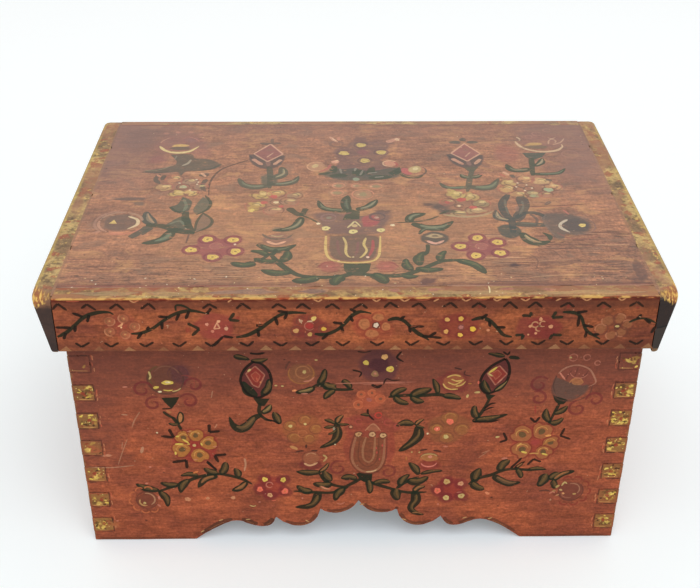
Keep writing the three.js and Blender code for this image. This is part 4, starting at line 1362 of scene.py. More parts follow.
def front_ochre_flowers(art):
    art.wash(-30, 84, 11.4, 11, (150, 88, 50), 0.55)
    art.wash(53.4, 84.6, 11.4, 11.2, (140, 86, 52), 0.58)
    for x, y, r in (
        (-37, 87, 3.8), (-28.6, 91, 3.6), (-22.4, 84.6, 3.6), (-26.4, 77.6, 3.4), (-35, 78.4, 3.8),
        (53.8, 92, 5), (61, 83.6, 4.4), (52.6, 77.6, 4.2), (46.4, 84, 4.2)
    ):
        art.blob(x, y, r, r * 0.95, (160, 104, 56), 0.42, 0, 1, "body", 1, 0.1)
        art.arc(x, y, r, 0, 340, 0.8, (112, 66, 44), 0.45)
        art.arc(x + 0.4, y + 0.3, r * 0.6, 20, 200, 0.7, (190, 134, 72), 0.45)
    each(art.dot, (
        (-36.8, 86.8, 1.3, STRAW), (-28.4, 88.2, 1, STRAW), (-23.2, 85, 0.7, OCHRE), (54.1, 89.4, 2.3, CORAL),
        (47, 84.2, 1.9, CORAL), (52.3, 78.4, 1.7, STRAW), (41.7, 80.8, 0.8, CREAM)
    ))
    art.dot(47, 84.2, 0.7, (250, 170, 130), 0.8)
    art.arc(-30, 81, 2.6, 0, 330, 0.7, (190, 110, 70), 0.6)
    each(art.blob, (
        (-35.2, 71, 2.8, 1.1, (196, 138, 84), 0.85, -28), (52.4, 71.2, 1.7, 0.6, PINK, 0.6)
    ), layer="touch")
    for points in (
        [(-34.2, 67.8), (-31, 68.6), (-29.4, 68.4)], [(-25.2, 68.8), (-21.4, 68.6)],
        [(-28.2, 70.4), (-28, 73.4)], [(37.6, 68.4), (42, 69.2)], [(45.4, 68.4), (50.2, 67.6)]
    ):
        art.brush(points, 1.2, DARK, 0.85)
    art.wash(-25.6, 59, 6.6, 4.6, (108, 38, 40), 0.66, soft=1.4)
    art.blob(-25.4, 63, 5.2, 4.6, (156, 92, 62), 0.85, 0, 0.8)
    art.arc(-25.4, 63, 5.2, 20, 340, 0.8, (112, 62, 42), 0.6)
    art.arc(-25.2, 63.8, 3.2, 30, 160, 0.7, (196, 140, 100), 0.6)
    art.brush([(-29.6, 59.4), (-26, 57.6), (-21.6, 59.8)], 1.4, (208, 156, 112), 0.8, layer="touch")
    art.brush([(-18.6, 65.6), (-16.4, 63.4), (-18.4, 60.4)], 1.1, STRAW, 0.6)
    art.shape(
        spline([(37.6, 62.6), (42.8, 66), (48.8, 62.2), (43, 60), (37.6, 62.6)])[:-1], (168, 108, 62), 0.85
    )
    art.arc(43.2, 63, 4.8, 20, 170, 0.9, STRAW, 0.7, squeeze=0.6)
    art.dot(43.8, 63.6, 1.3, PINK, 0.85)
    art.wash(43.4, 57.4, 6.2, 4, (128, 44, 42), 0.66)
    each(art.arc, (
        (43.4, 61.6, 6, 0, 180, 0.8, (118, 74, 48), 0.6), (43.2, 60, 4.8, 200, 345, 1, (222, 130, 110), 0.75)
    ), squeeze=0.8)
    each(art.dot, ((33, 67.2), (37.4, 67)), r=0.7, colour=STRAW, solid=0.7)
    art.brush([(29.8, 64.2), (30.2, 61)], 0.8, OCHRE, 0.7)


def front_garland(art):
    art.patch([(0.6, 51), (2.4, 52.2), (10.6, 51.4), (10.2, 45.8), (5.4, 44.6), (2.8, 46.6)], GREEN, 0.96)
    art.brush([
        (3, 46.8), (-2, 43.4), (-6.2, 41.2), (-13, 42.8), (-18, 46.6), (-20.6, 51.2)
    ], 2.2, GREEN, ends=(0.8, 0.5))
    art.brush([
        (-3.8, 41.2), (-9, 38.2), (-14.4, 36.6), (-23.5, 37), (-36.2, 38)
    ], 2.2, GREEN, ends=(0.6, 0.3))
    art.brush([
        (5, 46.2), (11.9, 43.3), (22.3, 39.2), (31.7, 36.4), (42.8, 36.6)
    ], 2.2, GREEN, ends=(0.7, 0.3))
    art.brush([(24.8, 39.6), (28.4, 43), (33.4, 46.2), (37.8, 48.6)], 2.2, GREEN)
    leaves(art, (
        (1.4, 47, -8.2, 47.6, 4.8, -0.14), (-13.2, 43.4, -24.6, 43.8, 5.2, 0.1),
        (-14, 45.2, -18.2, 53.4, 6.4, 0.06), (-20, 52.4, -34.2, 53, 4.6, 0.04),
        (-5.8, 39.8, -11.6, 30.2, 5.6, -0.14), (-24.6, 37.4, -34.2, 42.4, 5, 0.14),
        (7.8, 46.2, 9, 35.6, 4.8, 0.06), (11, 43.2, 21.2, 44.6, 4.4, 0.12),
        (24.6, 39.4, 26, 30.2, 6.6, -0.08), (26.6, 41, 32.2, 50.4, 5, 0.12),
        (30.6, 45.6, 43.4, 48.4, 6, -0.16), (37.6, 50, 31.4, 59.4, 4.8, -0.08),
        (38.6, 50.6, 51.6, 53, 3, 0.06)
    ))
    leaves(art, ((-20.8, 52.4, -15.2, 59.4, 3.2, -0.08), (34.8, 36.8, 41.8, 41, 4.2, 0.16)), inner=LEAF_TAN)
    art.leaf((-20.6, 41.8), (-13.8, 39), 2.2, -0.1, LEAF_TAN, PINK)
    art.blade([(-21.8, 37.6), (-22.6, 31.8), (-26.4, 26.4), (-35.4, 25.4)], 5.4, glow=0.45, belly=0.6)
    art.blade([
        (35.6, 37.8), (36.6, 30.4), (33.8, 24.2), (36.6, 20.4), (41.8, 18.6)
    ], 5.8, glow=0.35, belly=0.55)
    art.brush([(-10.6, 28.4), (-8.2, 27.6), (-5.6, 29.2)], 0.8, PINK, 0.6)
    art.brush([(34.8, 20.2), (38.2, 20.4), (41, 19)], 1, TAN, 0.5, layer="touch")


def front_small_marks(art):
    red_rosette(art, -49.4, 41.4, 12, (
        (-3.4, 5.8, 1.9, YELLOW), (7.4, 5.4, 1.9, YELLOW), (-6.6, -1.8, 2.1, CORAL), (8.2, -3.4, 2.3, CORAL),
        (-0.8, -6.4, 1.8, (214, 160, 110))
    ))
    red_rosette(art, 56, 38.8, 12, (
        (-1.6, 5.8, 2.2, (206, 166, 104)), (6.8, 4.2, 1.9, (214, 150, 110)), (-6.8, -1.2, 2.3, CORAL),
        (-1.4, -6.8, 2.1, STRAW), (7.6, -5.4, 2.1, STRAW)
    ))
    art.arc(-50.2, 43, 2, 0, 320, 0.7, PINK, 0.7)
    art.brush([(-49.4, 30.4), (-46.6, 31.2)], 0.9, CORAL, 0.6)
    art.brush([(60.6, 36), (63.8, 36.6)], 0.8, PINK, 0.6)
    art.wash(54.6, 117, 9.4, 7.4, (122, 44, 42), 0.55)
    art.blob(54.8, 117.6, 6.8, 5.2, (164, 98, 60), 0.62, 10, 1)
    art.arc(54.8, 117.4, 7.6, 200, 520, 0.8, (104, 52, 40), 0.5, squeeze=0.8)
    for points in (
        [(48.8, 116.2), (50.6, 113.4), (53.6, 112.2), (57.4, 112.4)],
        [(51.4, 117.2), (55.4, 115.4), (59.4, 117.8)], [(53.4, 119.2), (56.6, 117.8), (60.4, 118.8)],
        [(50.8, 120.4), (54.8, 122), (58.6, 121)], [(56, 114.2), (59.4, 115.2), (61.4, 117.6)]
    ):
        art.brush(points, 0.9, (218, 178, 98), 0.8, (0.4, 0.4))
    art.brush([(54.6, 127), (59, 125.6)], 1.1, DARK, 0.8)
    art.brush([(61, 125), (60.4, 122.4), (64.4, 121)], 0.9, DARK, 0.7)
    for x, y, rx, ry, turn, colour in (
        (63, 107.4, 0.8, 1.4, -10, STRAW), (68.4, 110, 1.9, 0.8, 5, STRAW), (68.6, 116.8, 0.6, 1.3, 0, CORAL),
        (63.8, 116, 1.2, 0.5, 0, OCHRE), (-113, 82.6, 0.7, 0.7, 0, CREAM), (-122.4, 44.8, 1.1, 0.7, 0, PINK),
        (-119.2, 57.2, 0.9, 0.7, 0, PINK), (-116, 33.6, 0.9, 1.4, 0, PINK), (-142.6, 15.4, 0.9, 0.6, 0, PINK),
        (-56.6, 29.6, 0.9, 0.6, 0, PINK), (50, 27, 0.6, 0.9, 0, PINK), (-31, 32.4, 0.6, 0.9, 0, PINK),
        (-128, 115, 1.6, 0.5, 4, PINK), (-93, 53, 1.8, 0.8, 20, ORANGE)
    ):
        art.blob(x, y, rx, ry, colour, 0.75, turn, layer="touch")
    for points, width, solid in (
        ([(-64, 63.4), (-63.6, 58.8), (-64.6, 53.6)], 1.2, 0.5), ([(-122, 72.4), (-123.4, 67.6)], 1.8, 0.5),
        ([(-130.4, 78), (-133.6, 70), (-137.8, 58.6)], 0.5, 0.4),
        ([(-121.4, 97.6), (-125, 91.6), (-127, 86)], 0.8, 0.3),
        ([(-156.6, 57.6), (-142, 57), (-128.2, 58.6)], 0.6, 0.5), ([(-132, 95.8), (-128.4, 95.4)], 0.7, 0.5),
        ([(-133.4, 75.8), (-134.2, 70.8)], 0.5, 0.4), ([(-79.6, 112), (-80.6, 107)], 0.7, 0.3),
        ([(-78.4, 88.6), (-80, 85.6)], 0.7, 0.4), ([(73.6, 66), (78.4, 68.2)], 0.5, 0.35),
        ([(72, 62.6), (76.8, 66.8)], 0.5, 0.3)
    ):
        art.brush(points, width, PALE_CHIP, solid)
    art.specks(100, (-146, 34, 146, 138), 0.33, (PALE_CHIP, (214, 128, 88), (96, 48, 34)), 0.55)
    each(art.blob, (
        (-125.2, 15.6, 1, 0.7), (-111.6, 53, 0.7, 0.6), (25.4, 24.2, 1.4, 1), (86, 25.2, 0.9, 0.6),
        (81.8, 32, 0.9, 0.7), (-39, 133, 0.8, 0.5)
    ), colour=DARK, solid=0.7, layer="touch")


# The skirt's middle; the foot of the lowest tail, and the tails' pitch, height and thickness (mm)
SKIRT_MIDDLE = 2.5
TAIL_FIRST = 7.5
TAIL_PITCH = 19.65
TAIL_TALL = 10.4
BOARD_THICK = 11.7

# Paint left on the end of each tail, from the lowest: how much of the olive and of the bright dabs
LEFT_TAILS = ((1, 0.9), (0.85, 0.4), (0.8, 0.7), (0.5, 0.3), (0.75, 1.1), (0.7, 1.1), (0.12, 0))
RIGHT_TAILS = ((0.85, 0.8), (0.6, 1), (0.7, 0.9), (0.95, 1.2), (0.85, 1.3), (0.8, 1), (0.42, 0.45))


def tail_patch(art, side, low, olive, bright):
    """Paint on one tail's end: dabs of olive, yellow, brown and red, and an uneven outline."""
    outer, inner = side * 157, side * (157.5 - BOARD_THICK - 0.6)
    left, right = min(outer, inner), max(outer, inner)
    high = low + TAIL_TALL
    middle = ((left + right) / 2, (low + high) / 2)
    near = art.chance.uniform
    if olive > 0.45:
        corners = (
            (left, low), (middle[0], low - 0.3), (right, low), (right, middle[1]), (right, high),
            (middle[0], high + 0.2), (left, high), (left, middle[1])
        )
        art.patch([
            (x + near(-0.3, 0.3), y + near(-0.5, 0.5)) for x, y in corners
        ], (150, 112, 60), 0.8 * olive, "wash", 1)
    tones = (
        (230, 194, 88), (104, 74, 40), (242, 208, 104), (150, 74, 48), (70, 44, 30), (212, 168, 90),
        (186, 142, 70)
    )
    for index in range(round(9 * olive)):
        x, y = near(left + 2, right - 2), near(low + 1.6, high - 1.6)
        rx, ry = near(1.2, 2.6), near(0.9, 1.8)
        x = min(right - rx - 0.3, max(left + rx + 0.3, x))
        art.blob(x, y, rx, ry, tones[(index * 3 + round(low)) % 7], 0.62, near(-30, 60), 0.7, "body", 1, 0.2)
    for index in range(round(15 * bright)):
        x, y = near(left + 1, right - 1), near(low + 0.8, high - 0.8)
        dx, dy = near(-2.2, 2.2), near(-1.2, 1.2)
        start, end = (min(right - 0.8, max(left + 0.8, x + dx * share)) for share in (-0.6, 0.6))
        art.brush(
            [(start, y - dy * 0.6), (x + 0.2, y + 0.3), (end, y + dy * 0.5)], near(0.6, 1.4),
            tones[(index + round(low)) % 5], 0.85, (0.5, 0.3)
        )
    if olive > 0.55:
        art.blob(
            middle[0] + near(-1, 1), middle[1] + near(-1, 1), 1.5, 1.1, (152, 58, 42), 0.8, near(0, 180),
            layer="touch"
        )
    for _ in range(round(5 * olive)):
        art.dot(
            near(left + 0.8, right - 0.8), near(low + 0.8, high - 0.8), near(0.3, 0.5), (238, 212, 130), 0.8
        )
    edge = inner + side * 0.3
    for a, b in ((low - 0.6, middle[1] - near(0, 1.5)), (middle[1] + near(0, 1.5), high + 0.8)):
        art.brush([
            (edge + near(-0.3, 0.3), a), (edge + near(-0.2, 0.2), b)
        ], near(0.6, 0.9), DARK, 0.42 + 0.38 * olive)
    for y in (low - 0.5, high + 0.3):
        cut = near(left + 2, right - 2)
        for a, b in ((left + near(0, 1), cut - near(0.2, 1.5)), (cut + near(0.2, 1.5), right - near(0, 1))):
            if b - a > 1.5:
                art.brush([
                    (a, y + near(-0.2, 0.2)), (b, y + near(-0.2, 0.2))
                ], near(0.6, 1), DARK, near(0.4, 0.75))
    inward = inner - side * 1.1
    for index in range(4):
        y = near(low, high)
        tone = ((214, 142, 98), (196, 96, 66))[index % 2]
        art.brush([
            (inward + near(-0.5, 0.5), y - near(0.8, 2.2)), (inward + near(-0.5, 0.5), y + near(0.8, 2.2))
        ], 0.6, tone, 0.6)
    art.brush([
        (left + near(1, 3), low + 0.8), (right - near(1, 5), low + 0.6)
    ], 0.5, (222, 166, 96), 0.4 + 0.2 * bright)


def tail_marks(art):
    for side, tails in ((-1, LEFT_TAILS), (1, RIGHT_TAILS)):
        for index, (olive, bright) in enumerate(tails):
            tail_patch(art, side, TAIL_FIRST + index * TAIL_PITCH, olive, bright)


def skirt_edge(art):
    """The lower edge of the skirt: a dark band along it that is partly worn paint and partly painted shade of
    the board's shadowed lower edge, pale touches, and dark lines at the foot ends.
    """
    for sign in (-1, 1):
        for curve in (
            ((3.2, 27.6), (6.5, 24.3), (11, 22.3), (15.4, 22), (19.2, 22.8)),
            ((25.1, 19.9), (28.4, 14.6), (33, 12), (38.4, 12), (43.8, 14.1)),
            ((51.5, 16.4), (52.8, 14.2), (54.2, 12.7), (55.7, 11.8), (57.4, 11.4)),
            ((61, 11.9), (63.2, 12.8), (65.4, 13.9), (67.8, 15), (70.4, 15.9)),
            ((76, 15.9), (81, 14.3), (85.9, 11.5), (90.6, 8.2), (95.1, 4.7))
        ):
            line = [(SKIRT_MIDDLE + sign * x, z + 0.2) for x, z in curve]
            strong = -76 < line[0][0] < -44 or -76 < line[-1][0] < -48
            # The dark band is painted shade of the skirt's shadowed lower edge as well as worn paint; it is
            # strongest on the left
            art.brush(line, 3.2 if strong else 2.5, (80, 48, 34), 0.8 if strong else 0.62, (0.5, 0.5))
            art.brush([(x, z - 0.7) for x, z in line[1:-1]], 0.5, (190, 128, 80), 0.35, layer="touch")
    for a, b in ((-154.5, -97), (102, 154)):
        art.brush([(a, 1.5), ((a + b) / 2, 1.2), (b, 1.6)], 1.6, (84, 50, 36), 0.5)
    for x, z in (
        (-92, 6.4), (-80.4, 15.4), (-64, 15.8), (-28.4, 14.2), (4.6, 27.4), (30, 15), (66.6, 16), (82, 15.4)
    ):
        art.blob(x, z, 1.6, 0.5, (222, 176, 116), 0.6, art.chance.uniform(-40, 40), layer="touch")


def corner_wear(art):
    """Paler and redder wood round the joints at both ends."""
    for x, z, rx, rz, colour, solid in (
        (-151, 70.4, 5.4, 3.6, (190, 92, 62), 0.45), (-151.6, 50.6, 5, 3.6, (196, 106, 72), 0.4),
        (-150.6, 109.6, 5.4, 3, (96, 44, 46), 0.4), (-152, 128, 5, 3.4, (112, 62, 50), 0.4),
        (151.6, 31.6, 4.6, 3.6, (112, 52, 38), 0.45), (-143.4, 66, 3.6, 1, (214, 150, 116), 0.5),
        (-146.6, 12.4, 6, 3.6, (176, 112, 66), 0.4)
    ):
        art.blob(x, z, rx, rz, colour, solid, 0, min(rx, rz) * 0.7, "wash", 1, 0.14)


def paint_front():
    art = Painting("front_ornament", front_place)
    for motif in (
        front_cup_left, front_cup_right, front_bud_left, front_bud_right, front_rosette_left,
        front_rosette_right, front_spray_left, front_spray_right, front_middle, front_vase,
        front_ochre_flowers, front_garland, front_small_marks, tail_marks, skirt_edge, corner_wear
    ):
        motif(art)
    return art


# Apron: places along the box of the repeated marks (mm), and of the low points also how solid they are
TOP_CHEVRONS = (
    -154.5, -139.5, -124.2, -107.6, -76.4, -59.2, -41, -28.2, -12.6, 2.6, 17.4, 32.6, 49, 63.4, 79.6, 93.4,
    110.4, 128.4, 146.2
)
LOW_CHEVRONS = (
    -145.4, -129.8, -111.6, -93.6, -76.8, -57.4, -39.6, -23.8, -7.2, 11.2, 29, 46.8, 62.8, 79.8, 96.8, 112.6,
    131.4, 149.6
)
LOW_POINTS = (
    (-154, 0.6), (-136.4, 0.3), (-120, 0.85), (-102.5, 0.35), (-83.8, 0.75), (-65.5, 0.85), (-47.8, 0.85),
    (-32.2, 0.85), (-14, 0.85), (2, 0.3), (20.8, 0.85), (38.5, 0.35), (53.6, 0.3), (70.3, 0.75), (88.3, 0.8),
    (105.7, 0.7), (121.9, 0.35), (140.6, 0.3), (155.6, 0.6)
)
TOP_GLINTS = (-115.2, -66.6, -19.7, 10.4, 25, 40.1, 56.8, 72.9, 88, 103.6, 119.8, 138)


def apron_edges(art):
    near = art.chance.uniform
    for x in TOP_CHEVRONS:
        lean = near(-0.8, 0.8)
        top = 176.7 + near(-0.3, 0.6)
        art.chevron(
            (x - 3.6 + lean, 173.8 + near(-0.5, 0.5)), (x, top), (x + 4 + lean, 173.4 + near(-0.5, 0.5)), 1.4,
            solid=0.85
        )
    for x in LOW_CHEVRONS:
        lean = near(-0.8, 0.8)
        art.chevron(
            (x - 3.8 + lean, 152.6 + near(-0.4, 0.7)), (x, 150.2), (x + 3.8 + lean, 152.8 + near(-0.4, 0.7)),
            1.35
        )
    for x, solid in LOW_POINTS:
        tall = near(2.8, 3.8)
        art.patch([
            (x - near(3.4, 4.2), 147.4), (x + near(3.2, 4), 147.4), (x + near(-0.6, 0.8), 147.5 + tall)
        ], (182, 136, 92), 0.64 * solid, "wash", 0.6)
        art.brush([(x - 1.8, 148.2), (x + 0.2, 149.4), (x + 1.8, 148.1)], 0.6, (140, 92, 62), 0.5 * solid)
    for index, x in enumerate(TOP_GLINTS):
        if index % 4 != 1:
            art.brush([(x - near(1.8, 2.8), 179.2), (x, 177.7)], 0.8, (208, 146, 98), 0.75, (0.6, 0.6))
        art.brush([(x, 177.7), (x + near(1.8, 2.8), 179.2)], 0.8, (208, 146, 98), 0.75, (0.6, 0.6))
    for x, z, r in (
        (110.5, 174.2, 1.5), (129.2, 173.8, 1.4), (146.9, 173.4, 1.3), (64.2, 174.4, 1.2),
        (-88.5, 160.6, 2.2), (-61.9, 168, 1.8), (-8, 174.2, 1.1)
    ):
        art.blob(x, z, r, r * 0.8, (140, 46, 40), 0.5, near(0, 180), 0.9, "wash")
    for left, right in ((-150, -143), (-116, -112), (-76, -72), (31, 38), (62, 68)):
        art.brush([(left, 178.8), ((left + right) / 2, 178.5), (right, 178.9)], 0.6, (196, 92, 60), 0.5)


def thorns(art, rows):
    for ax, az, bx, bz in rows:
        art.brush([(ax, az), (bx, bz)], 1.7, INK, 0.92, (0.95, 0.25))


def apron_vines(art):
    each(art.brush, (
        ([
            (-157.2, 156.6), (-152, 159.6), (-147.2, 164), (-141.4, 169.2), (-135, 171.6), (-129, 172),
            (-126.4, 170.4)
        ], 2.2),
        ([
            (-118.4, 158.4), (-113, 158.9), (-107, 161.6), (-100.2, 167), (-94, 170.8), (-86, 172.6),
            (-76.6, 170.4)
        ], 2),
        ([
            (-63.4, 155.8), (-57.4, 157.2), (-51.2, 160.8), (-46, 165), (-40, 169.6), (-34, 171.2),
            (-26, 170.8)
        ], 2.2),
        ([
            (-22, 157.8), (-16.4, 157.4), (-10.2, 160.2), (-6, 164.4), (-2, 169.4), (2.2, 171.5), (7.8, 170.5)
        ], 2.2),
        ([
            (16.4, 166), (20.4, 167.3), (24.6, 166), (28.4, 162.2), (32.2, 158.2), (36, 155.6), (38.6, 153.4)
        ], 2.2),
        ([(60.4, 166), (65.8, 167.4), (70.2, 165.4), (74.2, 161.2), (78, 156.6), (82.6, 155.3)], 2.2),
        ([
            (108, 170.8), (114.2, 170.3), (118, 167.5), (120.2, 162), (122.4, 158.4), (126, 156),
            (129.6, 153.6)
        ], 1.9),
        ([(143.6, 164.2), (147.6, 166.2), (152.2, 166.4), (158, 163.8)], 1.4)
    ), colour=GREEN, solid=0.94, ends=(0.5, 0.35))
    thorns(art, (
        (-149.6, 162.4, -157.6, 162.6), (-142.6, 169.2, -147.8, 171.6), (-139, 170.4, -140.6, 165.8),
        (-147, 163.6, -147.8, 159.6), (-152.6, 159.2, -154.2, 155), (-110, 160.8, -108.6, 163),
        (-101.6, 165.8, -102, 161), (-98.6, 168.6, -103.6, 169.2), (-92.4, 170.8, -94.2, 166.4),
        (-87, 172.4, -89.2, 167.4), (-78, 170.6, -75.4, 174.2), (-112.6, 159.2, -115.6, 155),
        (-52.6, 163.2, -48.8, 163.4), (-42.4, 168.6, -41.2, 163.2), (-36, 170.8, -37.8, 166.8),
        (-35.8, 171.4, -41.2, 172.2), (-51.6, 160.6, -51.4, 156), (-70, 156.6, -64.8, 155.6),
        (-75.6, 150.6, -70, 156.6), (-7.4, 164.2, -12.4, 165), (-3, 168.8, -1.8, 165.2),
        (-7.8, 162.2, -6.8, 158.2), (-14.8, 157.8, -18.2, 154.2), (-0.4, 171.6, -3.6, 173.4),
        (29.2, 162, 35.8, 162.2), (23, 166.8, 25.6, 168.8), (28, 162.4, 28.6, 158.2),
        (35, 156.2, 45.4, 154.8), (38.6, 155.8, 42.4, 158.6), (65.4, 167.2, 68.8, 169.6),
        (69.8, 165.6, 70.6, 161.6), (74, 161.6, 78.8, 161.3), (117, 168.6, 116.8, 161.4),
        (119.6, 162.6, 125.4, 161.2), (115.4, 170.4, 121, 171.3), (122, 158.8, 121.4, 154.6),
        (125, 156.6, 129, 156.6), (147.6, 166.2, 149.6, 169.2), (151.8, 166.4, 155.2, 163.4),
        (158, 161.4, 156.2, 157.2)
    ))
    art.brush([(-93.8, 172.4), (-93.6, 175.8), (-89.8, 175.6), (-85.4, 172.8)], 1.2, GREEN)
    each(art.chevron, (
        ((-88.4, 164.8), (-82.4, 161.2), (-86.6, 157)), ((-63.6, 171.2), (-66.4, 166.7), (-61, 166.3)),
        ((84.2, 156.4), (88.6, 156.6), (87.8, 153.4)), ((102.6, 153.6), (104, 156.6), (109, 156.2)),
        ((104.6, 171.2), (102.8, 167.3), (108.6, 167.8)), ((86.8, 168.8), (91.6, 168.4), (91.2, 171))
    ), width=1.8, colour=GREEN)


def apron_flowers(art):
    near = art.chance.uniform
    art.wash(-122.4, 162.8, 9, 7.6, (156, 70, 56), 0.45)
    for x, z, r in (
        (-129.1, 166.4, 3.1), (-121.5, 167.9, 3), (-116.4, 162.9, 3.1), (-121.8, 158, 2.9),
        (-129.3, 159.9, 3.1)
    ):
        art.blob(x, z, r, r * 0.94, (184, 112, 76), 0.5, near(0, 90), 0.7, "wash")
        start = near(0, 300)
        art.arc(x, z, r - 0.2, start, start + 150, 0.7, (206, 140, 100), 0.5)
        art.arc(x, z, r, start + 140, start + 320, 0.8, (128, 72, 50), 0.5)
        art.arc(x, z, r * 0.55, near(0, 90), near(280, 330), 0.8, (126, 84, 56), 0.6)
        art.dot(x + 0.2, z, 0.7, (196, 146, 92), 0.75)
    art.wash(-123.3, 163.5, 2.6, 2.2, (160, 66, 54), 0.5)
    art.brush([(-125, 163), (-123, 163.9), (-122.2, 165.4)], 1.1, (224, 160, 112), 0.85)
    art.dot(-123.2, 162.4, 0.7, (236, 190, 138), 0.85)
    art.wash(-74.6, 162.8, 10, 8.4, (154, 66, 56), 0.66)
    art.wash(-71.6, 160, 7.4, 5.4, (150, 60, 54), 0.4)
    each(art.dot, (
        (-78.3, 164.1, 1.1, (226, 150, 122)), (-72.1, 165.9, 1.1, (220, 160, 120)),
        (-68.3, 161.4, 1.3, (216, 160, 124)), (-75.6, 159.7, 1.1, (206, 126, 100))
    ), solid=0.85)
    for start, end in (
        ((-74.8, 161.2), (-73, 165.2)), ((-73, 165.2), (-71.6, 161.6)), ((-71.6, 161.6), (-74.8, 161.2))
    ):
        art.brush([start, end], 0.8, (224, 156, 118), 0.8, (0.8, 0.8))
    art.wash(-24.8, 162.4, 9.4, 7.8, (126, 46, 44), 0.62)
    for x, z, r, colour in (
        (-29.1, 165.9, 1.2, (196, 150, 116)), (-22.3, 167.4, 1.6, (226, 192, 112)),
        (-31.7, 159.8, 1.7, (208, 156, 96)), (-24.4, 157.5, 1.5, (206, 160, 90)),
        (-17.1, 160.9, 1.5, (228, 182, 74))
    ):
        art.arc(x, z, r + 1.1, near(0, 90), near(290, 350), 0.8, (104, 62, 48), 0.5)
        art.dot(x, z, r, colour, 0.85)
    art.brush([(-30, 167.2), (-28.6, 164.4)], 0.7, CREAM, 0.75)
    art.brush([(-25.8, 165.6), (-22.6, 165.9)], 0.7, CREAM, 0.75)
    art.dot(-21.9, 168, 0.7, YELLOW, 0.85)
    art.blob(-24.6, 162.8, 2.4, 1.9, (166, 56, 50), 0.8)
    art.arc(-24.6, 162.8, 2.6, 30, 330, 0.6, (196, 120, 96), 0.5)
    art.wash(5.4, 163, 7.8, 7.6, (164, 66, 50), 0.45)
    art.wash(12.8, 160.6, 7.4, 6.4, (158, 66, 48), 0.35)
    for x, z, rx, ry, turn in (
        (4.2, 163.8, 3.3, 3.9, 10), (8.3, 157.8, 4, 2.7, 0), (15.6, 162.2, 2.7, 3, 0),
        (11.5, 167.9, 3.4, 2.4, 0)
    ):
        art.blob(x, z, rx, ry, (188, 118, 74), 0.8, turn, 0.6)
        art.arc(x, z, max(rx, ry), near(0, 90), 330, 0.8, (134, 58, 44), 0.55)
        art.arc(x, z, min(rx, ry) * 0.5, near(0, 90), 250, 0.6, (142, 84, 54), 0.6)
    art.dot(10.4, 163, 2.4, (96, 54, 40), 0.85, "line")
    art.dot(10.4, 163.1, 1.6, (226, 200, 172), 0.95)
    art.wash(54.4, 162, 10.4, 8.4, (134, 52, 44), 0.6)
    for x, z, r, colour in (
        (47.7, 166.4, 1.5, (220, 168, 92)), (54.9, 166.9, 1.6, (222, 176, 82)),
        (61.5, 160.4, 1.8, (232, 186, 66)), (47.4, 158.9, 1.5, (216, 158, 88)),
        (55, 156.7, 1.5, (228, 180, 78))
    ):
        art.blob(x, z, r + 1.6, r + 1.4, (112, 38, 38), 0.5, 0, 0.9, "wash")
        art.dot(x, z, r, colour)
    art.dot(55.2, 161.5, 2.1, (112, 70, 62), 0.6, "line")
    art.dot(55.2, 161.5, 1.4, (186, 116, 102), 0.8)
    art.blob(69.6, 159.6, 1, 1, (216, 140, 100), 0.75, layer="touch")
    art.wash(90.8, 161.4, 6.6, 7, (132, 52, 48), 0.6)
    art.wash(99, 161, 8.6, 7.6, (124, 42, 42), 0.66)
    for x, z, r in ((-2.2, 0.6, 1.7), (1.9, 1, 1.7), (0, -1.9, 1.6)):
        art.arc(96.4 + x, 162.4 + z, r, near(0, 90), near(290, 340), 0.8, (196, 142, 100), 0.75)
    art.dot(96.5, 162.2, 0.9, (96, 60, 44), 0.8)
    each(art.dot, (
        (96.9, 166.4, 1.2), (91.7, 162, 1.1), (102.6, 161.7, 1.4), (95, 157.5, 0.9), (91.1, 156.7, 0.7)
    ), colour=(216, 152, 108), solid=0.85)
    art.wash(136, 161, 9.4, 7.6, (140, 72, 52), 0.4)
    for x, z, r in (
        (132.3, 165.3, 3.3), (138.5, 166.4, 3.1), (142.9, 162.7, 2.9), (140.4, 158, 2.9), (135.2, 156.2, 2.9),
        (129.4, 160, 3.2)
    ):
        art.blob(x, z, r, r * 0.92, (152, 96, 62), 0.7, near(0, 90), 0.6, "wash")
        start = near(0, 200)
        art.arc(x, z, r, start, start + 120, 0.8, (190, 126, 90), 0.5)
        art.arc(x, z, r + 0.4, start + 110, start + 330, 0.8, (104, 60, 44), 0.6)
    art.dot(137.7, 161.5, 2.2, (92, 54, 42), 0.8, "line")
    art.blob(137.7, 161.7, 1.3, 0.8, STRAW, 0.9, layer="touch")
    art.specks(60, (-155, 149, 155, 178), 0.35, (PALE_CHIP, DARK, (206, 120, 84)), 0.6)


def paint_apron():
    art = Painting("apron_ornament", apron_place)
    apron_edges(art)
    apron_flowers(art)
    apron_vines(art)
    return art


# Lid colours (display values)
LID_GREEN = (57, 64, 38)
LID_OLIVE = (96, 92, 60)
LID_INK = (54, 42, 28)
BUD_GREEN = (84, 80, 58)


def lid_leaves(art, rows, inner=LID_OLIVE, glow=0.45, outer=LID_GREEN):
    for bx, by, tx, ty, width, bend in rows:
        art.leaf((bx, by), (tx, ty), width, bend, outer, inner, glow)


